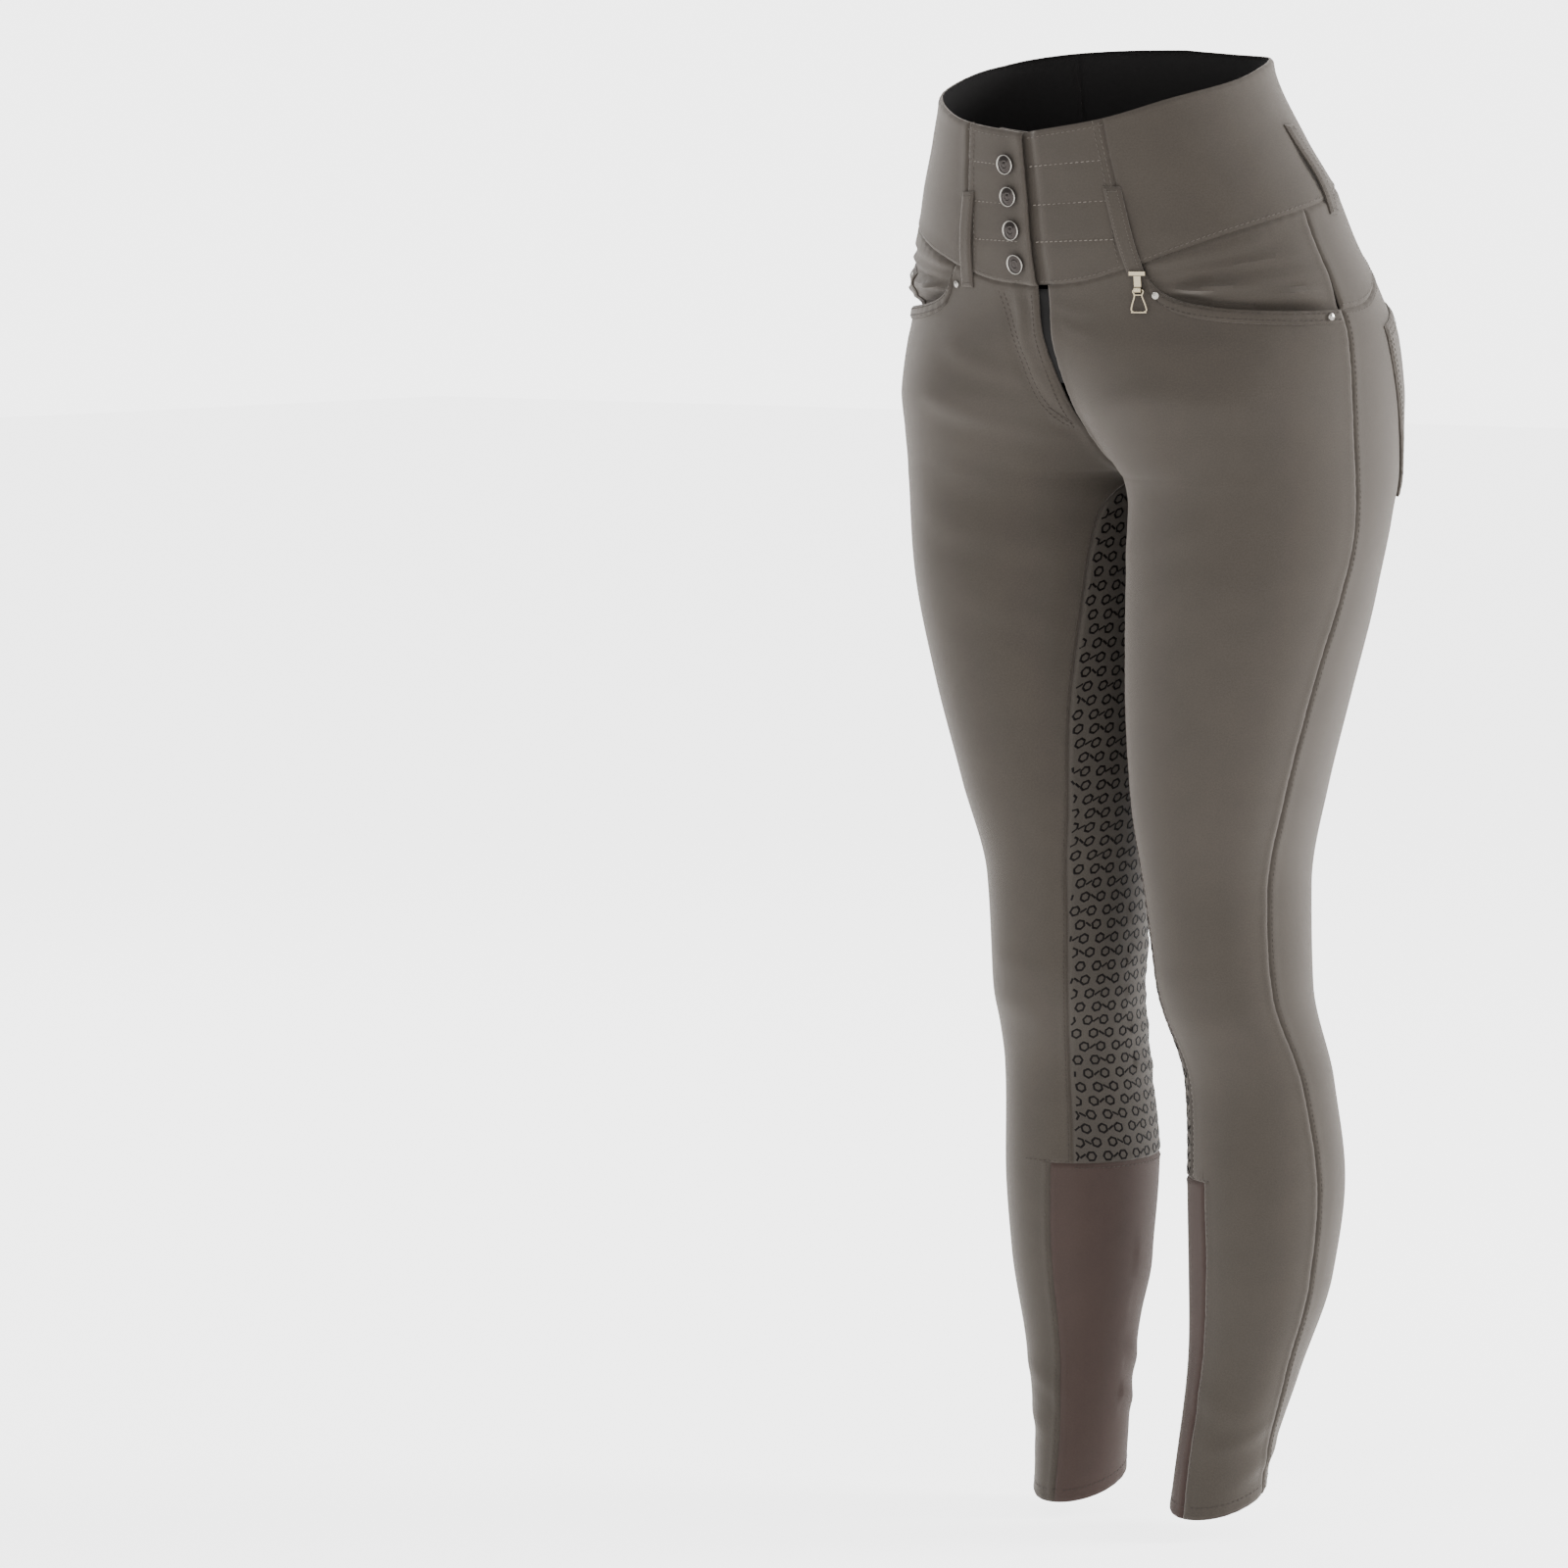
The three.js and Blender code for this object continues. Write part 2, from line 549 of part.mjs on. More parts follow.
// The clip is drawn from its side: a plate that ends in a ring about the stirrup's top bar
const hook = new THREE.Shape();
hook.moveTo(-0.5, 9);
hook.lineTo(-0.5, Math.sqrt(RING_OUT * RING_OUT - 0.25));
const open = Math.asin(0.5 / RING_OUT);
hook.absarc(0, 0, RING_OUT, Math.PI / 2 + open, Math.PI / 2 - open + 2 * Math.PI, false);
hook.lineTo(0.5, 9);
hook.closePath();
const eye = new THREE.Path();
eye.absarc(0, 0, RING_IN, 0, 2 * Math.PI, true);
hook.holes.push(eye);
const side3 = new THREE.Vector3().crossVectors(out, rise).normalize();
add('charm_clip', setOnCloth(extrude(hook, 2 * CLIP_HALF, 8), out, rise, side3), METAL_COLOUR, true);
const bar = new THREE.BoxGeometry(11, 2.6, 1.6);
bar.translate(0, 10.7, 0);
const face3 = new THREE.Vector3().crossVectors(side3, rise).normalize();
add('charm_bar', setOnCloth(bar, side3, rise, face3), METAL_COLOUR, true);
// The stirrup, flat, with a strap slot above and the foot opening below
const iron = new THREE.Shape();
iron.moveTo(-4, BAR);
iron.lineTo(-4, -3.2);
iron.quadraticCurveTo(-4.4, -6, -6, -13);
iron.lineTo(-6, -15.6);
iron.lineTo(6, -15.6);
iron.lineTo(6, -13);
iron.quadraticCurveTo(4.4, -6, 4, -3.2);
iron.lineTo(4, BAR);
iron.closePath();
const slot = new THREE.Path();
slot.moveTo(-2.8, -BAR);
slot.lineTo(2.8, -BAR);
slot.lineTo(2.8, -2.6);
slot.lineTo(-2.8, -2.6);
slot.closePath();
const tread = new THREE.Path();
tread.moveTo(-2, -5);
tread.quadraticCurveTo(-3.3, -7.5, -4.4, -13.2);
tread.lineTo(4.4, -13.2);
tread.quadraticCurveTo(3.3, -7.5, 2, -5);
tread.closePath();
iron.holes.push(slot, tread);
add('charm_stirrup', setOnCloth(extrude(iron, 2 * BAR, 5), side3, rise, face3), METAL_COLOUR, true);

export default group;
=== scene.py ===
"""Riding breeches, worn and filled out: cloth panels, pockets, belt loops, fittings and sewing.

Sizes are in mm and become metres when a mesh is made. The frame is the model's own: the origin is the
middle of the waist, +Z is up, the front faces -Y and the wearer's left is +X. A place on the cloth is
given by side (1 the wearer's left, -1 the right), t and z. t runs 0 at the side, 1 at the middle of the
back or the inside of the leg, and -1 at the middle of the front.
"""
import math

import bpy
import numpy as np
from mathutils import Matrix, Vector


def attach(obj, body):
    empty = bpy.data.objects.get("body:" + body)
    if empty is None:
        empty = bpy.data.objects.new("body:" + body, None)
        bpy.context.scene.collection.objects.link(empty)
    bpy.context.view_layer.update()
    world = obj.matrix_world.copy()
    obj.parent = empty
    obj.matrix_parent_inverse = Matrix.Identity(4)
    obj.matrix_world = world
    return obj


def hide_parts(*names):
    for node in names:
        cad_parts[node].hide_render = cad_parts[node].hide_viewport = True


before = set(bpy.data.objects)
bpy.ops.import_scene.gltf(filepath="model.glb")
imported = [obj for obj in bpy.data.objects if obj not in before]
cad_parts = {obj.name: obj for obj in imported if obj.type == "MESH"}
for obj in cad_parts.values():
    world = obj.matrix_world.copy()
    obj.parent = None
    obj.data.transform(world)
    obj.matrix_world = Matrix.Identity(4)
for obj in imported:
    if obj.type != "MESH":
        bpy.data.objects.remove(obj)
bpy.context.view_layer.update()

MM = 0.001
CELL = 3.4
CLOTH = 1.2
CROTCH_Z = -269.0
CALF_Z = -742.0
HEM_Z = -961.0
HEM_SLOPE = 10.0
MIDDLE_ROUND = 8.0
LEG_SPREAD = 0.42
SIDES = (("l", 1), ("r", -1))


# The body form, the same as the solids

def table(names, rows):
    """Columns of a table by name."""
    values = np.array(rows, float)
    return {name: values[:, k] for k, name in enumerate(names.split())}


def curve(xs, ys):
    """A smooth line through points, which doesn't overshoot between them."""
    x, y = np.array(xs, float), np.array(ys, float)
    order = np.argsort(x)
    x, y = x[order], y[order]
    gap, step = np.diff(x), np.diff(y) / np.diff(x)
    slope = np.zeros(len(x))
    slope[0], slope[-1] = step[0], step[-1]
    for k in range(1, len(x) - 1):
        if step[k - 1] * step[k] > 0:
            w0, w1 = 2 * gap[k] + gap[k - 1], gap[k] + 2 * gap[k - 1]
            slope[k] = (w0 + w1) / (w0 / step[k - 1] + w1 / step[k])

    def line(at):
        v = np.clip(np.asarray(at, float), x[0], x[-1])
        k = np.clip(np.searchsorted(x, v, side="right") - 1, 0, len(gap) - 1)
        f = (v - x[k]) / gap[k]
        s = 1 - f
        return ((1 + 2 * f) * s * s * y[k] + f * s * s * gap[k] * slope[k]
                + f * f * (3 - 2 * f) * y[k + 1] - f * f * s * gap[k] * slope[k + 1])
    return line


TORSO = table("z outer mid front back inner", [
    (40, 116, -8, 94, 90, -116),
    (0, 119, 0, 96, 91, -119),
    (-46, 135, 12, 104, 99, -128),
    (-80, 151, 21, 108, 105, -124),
    (-113, 161, 26, 109, 110, -100),
    (-146, 171, 34, 110, 117, -76),
    (-179, 177, 40, 112, 124, -58),
    (-212, 178, 42, 112, 126, -44),
    (-240, 178, 43, 103, 117, -22),
    (-269, 178, 43, 93, 106, 8),
])
FORK = table("z inner", [
    (-139, -169.2), (-146, -171.3), (-152, -171.8), (-160, -166), (-170, -140), (-180, -101), (-197, -60),
    (-213, -36.5), (-226, -25),
    (-235, -17.5), (-246.4, -9.3), (-257.5, -2), (-264, 3.4), (-269, 8),
])
LEG = table("z outer gap mid front back", [
    (-269, 178, 0, 43, 93, 106),
    (-295, 177, 5.5, 41, 88, 99),
    (-345, 170, 6, 37, 84, 92),
    (-412, 153, 6, 36, 78, 83),
    (-478, 134, 8, 38, 71, 74),
    (-544, 119, 14, 44, 62, 64),
    (-611, 121, 19, 47, 54, 58),
    (-677, 127, 27, 66, 50, 53),
    (-744, 130, 26, 73, 55, 57),
    (-810, 124, 28, 70, 50, 51),
    (-876, 107, 31, 60, 38, 39),
    (-943, 91, 29, 48, 34, 34),
    (-990, 87, 27, 41, 34, 34),
])
RING_STEPS = 240
FORM_LOW, FORM_HIGH = -990, 50


def build_form():
    """Rings of points every mm of height: x, y and length, for the front and back halves."""
    heights = np.arange(FORM_LOW, FORM_HIGH + 1.0)
    up = heights > CROTCH_Z
    trunk_inner, leg_gap = curve(TORSO["z"], TORSO["inner"]), curve(LEG["z"], LEG["gap"])
    size = {n: curve(np.append(TORSO["z"], LEG["z"][1:]), np.append(TORSO[n], LEG[n][1:]))(heights)
            for n in ("outer", "mid", "front", "back")}
    s = heights - CROTCH_Z
    far = np.hypot(MIDDLE_ROUND, leg_gap(heights))
    near = MIDDLE_ROUND + LEG_SPREAD * 5 * (1 - np.exp(np.minimum(s, 0) / 5))
    mix = np.clip(-s / 26, 0, 1)
    low = np.where(s > -26, near + (far - near) * mix ** 2, far)
    fork = np.where(heights < -139, curve(FORK["z"], FORK["inner"])(heights), -size["outer"])
    bend = MIDDLE_ROUND - LEG_SPREAD * 29 - float(trunk_inner(CROTCH_Z + 29))
    seat = MIDDLE_ROUND - LEG_SPREAD * s - bend * (np.clip(s, 0, 29) / 29) ** 1.5
    inner = {
        "front": np.where(up, fork, low),
        "back": np.where(up, np.where(s < 29, seat, trunk_inner(heights)), low),
    }
    xs, ys, lengths = [], [], []
    fine = 1 - np.linspace(0, 1, 4 * RING_STEPS + 1)
    for part, turn in (("front", -1), ("back", 1)):
        centre = (size["outer"] + inner[part]) / 2
        half = (size["outer"] - inner[part]) / 2
        reach = np.where(up, np.arccos(np.clip((MIDDLE_ROUND - centre) / half, -1, 1)), math.pi)
        a = reach[:, None] * (1 - fine[None, :] ** 2)
        wide = centre[:, None] + half[:, None] * np.cos(a)
        x = np.sqrt(np.maximum(wide ** 2 - MIDDLE_ROUND ** 2, 0))
        y = size["mid"][:, None] + turn * size[part][:, None] * np.sin(a)
        run = np.concatenate([np.zeros((len(heights), 1)),
                              np.cumsum(np.hypot(np.diff(x), np.diff(y)), axis=1)], axis=1)
        want = np.linspace(0, 1, RING_STEPS + 1)
        xs.append(np.stack([np.interp(want * r[-1], r, v) for r, v in zip(run, x)]))
        ys.append(np.stack([np.interp(want * r[-1], r, v) for r, v in zip(run, y)]))
        lengths.append(run[:, -1])
    return np.stack(xs), np.stack(ys), np.stack(lengths)


FORM_X, FORM_Y, FORM_RUN = build_form()


def settle(side, t, z):
    """Past t 1 or -1 a place goes on over the middle, or round the leg."""
    side, t, z = np.broadcast_arrays(np.asarray(side, float), np.asarray(t, float), np.asarray(z, float))
    up = z > CROTCH_Z
    over, under = t > 1, t < -1
    s = np.where((over | under) & up, -side, side)
    u = np.where(over, np.where(up, 2 - t, t - 2), np.where(under, np.where(up, -2 - t, t + 2), t))
    return s, u, z


def span(t, z):
    """Length in mm from the side to the middle, on the half ring that holds t."""
    _, u, z = settle(1, t, z)
    k = np.clip(z - FORM_LOW, 0, FORM_HIGH - FORM_LOW - 1e-6)
    i = k.astype(int)
    f = k - i
    h = (u >= 0).astype(int)
    return FORM_RUN[h, i] * (1 - f) + FORM_RUN[h, i + 1] * f


def place(side, t, z):
    """Points of the smooth body form."""
    s, u, z = settle(side, t, z)
    k = np.clip(z - FORM_LOW, 0, FORM_HIGH - FORM_LOW - 1e-6)
    i = k.astype(int)
    f = k - i
    h = (u >= 0).astype(int)
    m = np.clip(np.abs(u) * RING_STEPS, 0, RING_STEPS - 1e-6)
    j = m.astype(int)
    g = m - j
    out = []
    for grid in (FORM_X, FORM_Y):
        low = grid[h, i, j] * (1 - g) + grid[h, i, j + 1] * g
        high = grid[h, i + 1, j] * (1 - g) + grid[h, i + 1, j + 1] * g
        out.append(low * (1 - f) + high * f)
    return np.stack([s * out[0], out[1], z], axis=-1)


def outward(side, t, z):
    """Unit normals of the body form."""
    dt = 3 / span(t, z)
    along = place(side, t + dt, z) - place(side, t - dt, z)
    rise = place(side, t, z + 3) - place(side, t, z - 3)
    n = np.cross(along, rise) * np.asarray(side, float)[..., None]
    return n / np.linalg.norm(n, axis=-1, keepdims=True)


# Seam and edge lines

def line(rows):
    values = np.array(rows, float)
    return curve(values[:, 0], values[:, 1])


def flat(value):
    return lambda v: np.full_like(np.asarray(v, float), value)


def smooth(v):
    k = np.clip(v, 0, 1)
    return k * k * (3 - 2 * k)


SIDE_SEAM = {
    1: line([(-95, -0.07), (-152, -0.055), (-235, -0.045), (-310, -0.02), (-390, -0.06), (-480, -0.088),
             (-585, -0.13), (-660, -0.1), (-755, -0.06), (-845, -0.05), (-900, 0), (-970, 0.13)]),
    -1: line([(-92, 0.07), (-150, 0.05), (-235, 0.03), (-310, 0.025), (-395, 0.02), (-465, 0),
              (-540, -0.02), (-600, -0.02), (-717, -0.05), (-802, -0.02), (-902, 0.06), (-970, 0.08)]),
}
inner_front = line([(CROTCH_Z, -1), (-279, -0.93), (-290, -0.888), (-300, -0.872), (-352, -0.838),
                    (-435, -0.775), (-487, -0.75), (-542, -0.715), (-610, -0.713), (-690, -0.675),
                    (CALF_Z, -0.675)])
grip_back = line([(-235, 0.47), (-285, 0.46), (-370, 0.49), (-440, 0.495), (-540, 0.495), (-610, 0.485),
                  (-650, 0.51), (-700, 0.56), (CALF_Z, 0.575)])
calf_back = line([(CALF_Z, 0.575), (-790, 0.58), (-850, 0.6), (-905, 0.61), (-980, 0.63)])
calf_front = line([(CALF_Z, -0.58), (-800, -0.57), (-875, -0.58), (-980, -0.53)])
rim_line = line([(-1, -42), (-0.7, -34), (-0.4, -20), (-0.1, -8), (0.1, 1), (0.3, 7), (0.5, 10), (0.75, 12),
                 (1, 13.5)])
band_line = line([(-1, -142), (-0.85, -139), (-0.68, -130), (-0.34, -107), (0, -89), (0.24, -80),
                  (0.4, -75), (0.6, -72), (0.8, -76), (1, -78)])
yoke_line = line([(-0.08, -158), (0.05, -154), (0.24, -137), (0.39, -122), (0.54, -113), (0.72, -110),
                  (0.87, -113), (1, -117)])
pocket_line = line([(-0.645, -128.5), (-0.615, -139), (-0.588, -146), (-0.54, -151), (-0.488, -153.5),
                    (-0.388, -156), (-0.2, -157.5), (0, -156.5), (0.1, -156)])
fly_gap = line([(-135, 6), (-143, 8.5), (-155, 8.2), (-175, 7.4), (-195, 6.2), (-215, 3.8), (-240, 0)])
arch_line = line([(0.46, -240), (0.52, -222), (0.6, -200), (0.7, -181), (0.8, -172), (0.9, -168), (1, -167)])


def fold_t(t):
    return np.where(t > 1, 2 - t, np.where(t < -1, -2 - t, t))


def rim(side):
    def level(t):
        t = np.asarray(t, float)
        right = np.where(np.abs(t) > 1, side, -side)
        return rim_line(fold_t(t)) + right * 2.2 * np.sin(np.pi * np.clip((fold_t(t) - 0.2) / 0.8, 0, 1))
    return level


def band(t):
    return band_line(fold_t(np.asarray(t, float)))


def hem(side):
    return lambda t: HEM_Z + HEM_SLOPE * np.sin(np.pi * t) - (4 if side < 0 else 0)


# Relief of the cloth: soft folds and ridges, each with its own place, width and height

FOLDS = {"panels": [], "facing": [], "band": []}


def across_mm(t, z):
    """Distance in mm round the body from the side line."""
    t = np.asarray(t, float)
    past = np.where(t < 0, -1.0, 1.0)
    return np.where(np.abs(t) <= 1, t * span(np.clip(t, -1, 1), z),
                    past * span(past * 0.99, z) + (t - past) * span(t, z))


def fold(group, side, start, end, width, height, bow=0.0, lean=1, flare=0.0):
    """A ridge from start to end, places (t, z), with a shallow trough beside it. Side 0 is both sides."""
    FOLDS[group].append((side, start, end, width, height, bow, lean, flare))


def relief(side, t, z, group="panels"):
    """Height of the cloth over the body form, in mm."""
    side, t, z = np.broadcast_arrays(np.asarray(side, float), np.asarray(t, float), np.asarray(z, float))
    h = np.zeros(t.shape)
    s2, t2, _ = settle(side, t, z)
    u = across_mm(t2, z)
    for which, start, end, width, height, bow, lean, flare in FOLDS[group]:
        u0, u1 = float(across_mm(*start)), float(across_mm(*end))
        du, dz = u1 - u0, end[1] - start[1]
        length = math.hypot(du, dz)
        along = ((u - u0) * du + (z - start[1]) * dz) / length ** 2
        off = ((u - u0) * dz - (z - start[1]) * du) / length
        off = off - bow * (1 - (2 * np.clip(along, 0, 1) - 1) ** 2)
        wide = width * (1 + flare * (np.clip(along, -0.2, 1.2) - 0.5))
        fade = smooth((along + 0.15) / 0.4) * smooth((1.15 - along) / 0.4)
        ridge = np.exp(-(off / wide) ** 2) - 0.5 * np.exp(-((off - lean * 1.8 * wide) / wide) ** 2)
        near = (np.abs(along - 0.5) < 0.8) & ((s2 == which) | (which == 0))
        h = h + np.where(near, height * ridge * fade, 0)
    return h


SEAM_DIP, SEAM_PUFF = 1.0, 0.4


def seam_profile(far, dip=SEAM_DIP, puff=SEAM_PUFF):
    """The edge of a panel turns in at its seam, and its turned edge lifts it a little beside it."""
    return -dip * np.exp(-(far / 1.1) ** 2) + puff * np.exp(-((far - 3.6) / 2.4) ** 2)


def pucker(u, z, far, height=0.12):
    """Fine gathers along a sewn edge."""
    wave = np.sin(u * 0.71 + 1.3 * np.sin(z * 0.23)) + np.sin(z * 0.77 + 1.1 * np.sin(u * 0.31))
    return height * wave * np.exp(-(far / 5) ** 2)


# Meshes

def make_mesh(name, verts, faces, uvs=None, materials=(), face_material=None, sharp=50):
    mesh = bpy.data.meshes.new(name)
    verts = np.asarray(verts, float) * MM
    faces = np.asarray(faces)
    mesh.vertices.add(len(verts))
    mesh.vertices.foreach_set("co", verts.astype(np.float32).ravel())
    size = faces.shape[1]
    mesh.loops.add(faces.size)
    mesh.loops.foreach_set("vertex_index", faces.astype(np.int32).ravel())
    mesh.polygons.add(len(faces))
    mesh.polygons.foreach_set("loop_start", np.arange(0, faces.size, size, dtype=np.int32))
    mesh.update(calc_edges=True)
    if uvs is not None:
        layer = mesh.uv_layers.new(name="cloth")
        layer.data.foreach_set("uv", np.asarray(uvs)[faces.ravel()].astype(np.float32).ravel())
    for m in materials:
        mesh.materials.append(m)
    if face_material is not None:
        mesh.polygons.foreach_set("material_index", np.asarray(face_material, dtype=np.int32))
    mesh.polygons.foreach_set("use_smooth", np.ones(len(faces), dtype=bool))
    mesh.set_sharp_from_angle(angle=math.radians(sharp))
    mesh.validate()
    obj = bpy.data.objects.new(name, mesh)
    bpy.context.scene.collection.objects.link(obj)
    return obj


def steps_between(lines, counts, at, pos):
    """Value at position pos (0 to sum of counts) between lines evaluated at at."""
    values = np.stack([f(at) for f in lines])
    bounds = np.concatenate([[0], np.cumsum(counts)])
    k = np.clip(np.searchsorted(bounds, pos, side="right") - 1, 0, len(counts) - 1)
    f = (pos - bounds[k]) / np.asarray(counts)[k]
    low = np.take_along_axis(values, k[None], 0)[0]
    high = np.take_along_axis(values, k[None] + 1, 0)[0]
    return low + (high - low) * f


def grid_places(cols, col_counts, rows, row_counts, pos_u, pos_v, in_lengths=False):
    """t and z where column lines cross row lines."""
    pu, pv = np.meshgrid(pos_u, pos_v)
    z = steps_between(rows, row_counts, np.zeros(pu.shape), pv)
    for _ in range(16):
        t = steps_between(cols, col_counts, z, pu)
        z = steps_between(rows, row_counts, t, pv)
    return (t / span(0.5, z) if in_lengths else t), z


def graded(counts, seams):
    """Grid positions, with closer lines on both sides of each seam."""
    bounds = np.concatenate([[0], np.cumsum(counts)])
    pos = set(np.arange(bounds[-1] + 1).astype(float))
    for k in seams:
        for step in (0.2, 0.42, 0.7):
            pos |= {round(bounds[k] + step, 3), round(bounds[k] - step, 3)}
    return np.array(sorted(v for v in pos if 0 <= v <= bounds[-1]))


def cloth(name, side, cols, rows, materials, lift=0.0, thick=CLOTH, hole=None, edges=None, dip=SEAM_DIP,
          puff=SEAM_PUFF, cell=None, group="panels",
          seam_cols=None, seam_rows=None, in_lengths=False, gathers=0.12, replaces=None):
    """A panel of cloth between column lines and row lines, with both faces and its edges.

    hole(t, z) is true where the panel has no cloth; edges(t, z) is the distance in mm to its own edges.
    """
    cell = cell or CELL
    nc, nr = len(cols) - 1, len(rows) - 1
    t, z = grid_places(cols, [6] * nc, rows, [6] * nr, np.arange(6 * nc + 1), np.arange(6 * nr + 1), in_lengths)
    pts = place(side, t, z)
    wide = np.linalg.norm(np.diff(pts, axis=1), axis=2)
    tall = np.linalg.norm(np.diff(pts, axis=0), axis=2)
    col_counts = [max(2, round(wide[:, 6 * k:6 * k + 6].sum(1).max() / cell)) for k in range(nc)]
    row_counts = [max(2, round(np.median(tall[6 * k:6 * k + 6].sum(0)) / cell)) for k in range(nr)]
    pos_u = graded(col_counts, seam_cols if seam_cols is not None else (0, nc))
    pos_v = graded(row_counts, seam_rows if seam_rows is not None else (0, nr))
    t, z = grid_places(cols, col_counts, rows, row_counts, pos_u, pos_v, in_lengths)
    s = np.full(t.shape, float(side))
    form, n = place(s, t, z), outward(s, t, z)
    u = across_mm(t, z)
    wide_mm = span(t, z)
    if edges is not None:
        far = edges(t, z)
    else:
        left, right = cols[0](z), cols[-1](z)
        if in_lengths:
            left, right = left / span(0.5, z), right / span(0.5, z)
        at = t * span(0.5, z) if in_lengths else t
        far = np.minimum(np.abs(t - left), np.abs(right - t)) * wide_mm
        far = np.minimum(far, np.minimum(np.abs(z - rows[0](at)), np.abs(rows[-1](at) - z)))
    rise = lift(t, z) if callable(lift) else lift
    h = relief(s, t, z, group) + rise + seam_profile(far, dip, puff) + pucker(u, z, far, gathers)
    outer = form + n * h[..., None]
    inner = outer - n * thick
    used = np.ones((t.shape[0] - 1, t.shape[1] - 1), bool)
    if hole is not None:
        bounds_u, bounds_v = np.cumsum([0] + col_counts), np.cumsum([0] + row_counts)
        mid_u, mid_v = np.meshgrid((pos_u[1:] + pos_u[:-1]) / 2, (pos_v[1:] + pos_v[:-1]) / 2)
        used &= ~hole(mid_u, mid_v, bounds_u, bounds_v)
    corner = np.zeros(t.shape, bool)
    for di in (0, 1):
        for dj in (0, 1):
            corner[di:di + used.shape[0], dj:dj + used.shape[1]] |= used
    ids = -np.ones(t.shape, int)
    total = int(corner.sum())
    ids[corner] = np.arange(total)
    quads = np.stack([ids[:-1, :-1][used], ids[:-1, 1:][used], ids[1:, 1:][used], ids[1:, :-1][used]], axis=1)
    if side < 0:
        quads = quads[:, ::-1]
    rims = np.concatenate([quads[:, [k, (k + 1) % 4]] for k in range(4)])
    code = rims[:, 0] * (total + 1) + rims[:, 1]
    back = rims[:, 1] * (total + 1) + rims[:, 0]
    rims = rims[~np.isin(code, back)]
    walls = np.stack([rims[:, 1], rims[:, 0], rims[:, 0] + total, rims[:, 1] + total], axis=1)
    verts = np.concatenate([outer[corner], inner[corner]])
    uv = np.stack([u[corner] / 10, z[corner] / 10], axis=1)
    faces = np.concatenate([quads, quads[:, ::-1] + total, walls])
    kind = np.concatenate([np.zeros(len(quads)), np.ones(len(quads)), np.zeros(len(walls))])
    if len(materials) == 1:
        kind[:] = 0
    obj = make_mesh(name, verts, faces, np.concatenate([uv, uv]), materials, kind)
    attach(obj, "garment")
    if replaces:
        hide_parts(replaces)
    pts = form[corner][quads]
    area = np.linalg.norm(np.cross(pts[:, 2] - pts[:, 0], pts[:, 3] - pts[:, 1]), axis=1).sum() / 2
    flat_w = max(np.linalg.norm(np.diff(form, axis=1), axis=2).sum(1).max(), 10.5)
    flat_l = max(np.linalg.norm(np.diff(form, axis=0), axis=2).sum(0).max(), 10.5)
    area = min(max(area, 0.31 * flat_w * flat_l), flat_w * flat_l)
    return obj


# Materials

def new_material(name):
    mat = bpy.data.materials.new(name)
    mat.use_nodes = True
    nodes, links = mat.node_tree.nodes, mat.node_tree.links
    return mat, nodes, links, nodes["Principled BSDF"]


def add_node(nodes, kind, **values):
    node = nodes.new(kind)
    for key, value in values.items():
        if key in node.inputs:
            node.inputs[key].default_value = value
        else:
            setattr(node, key, value)
    return node


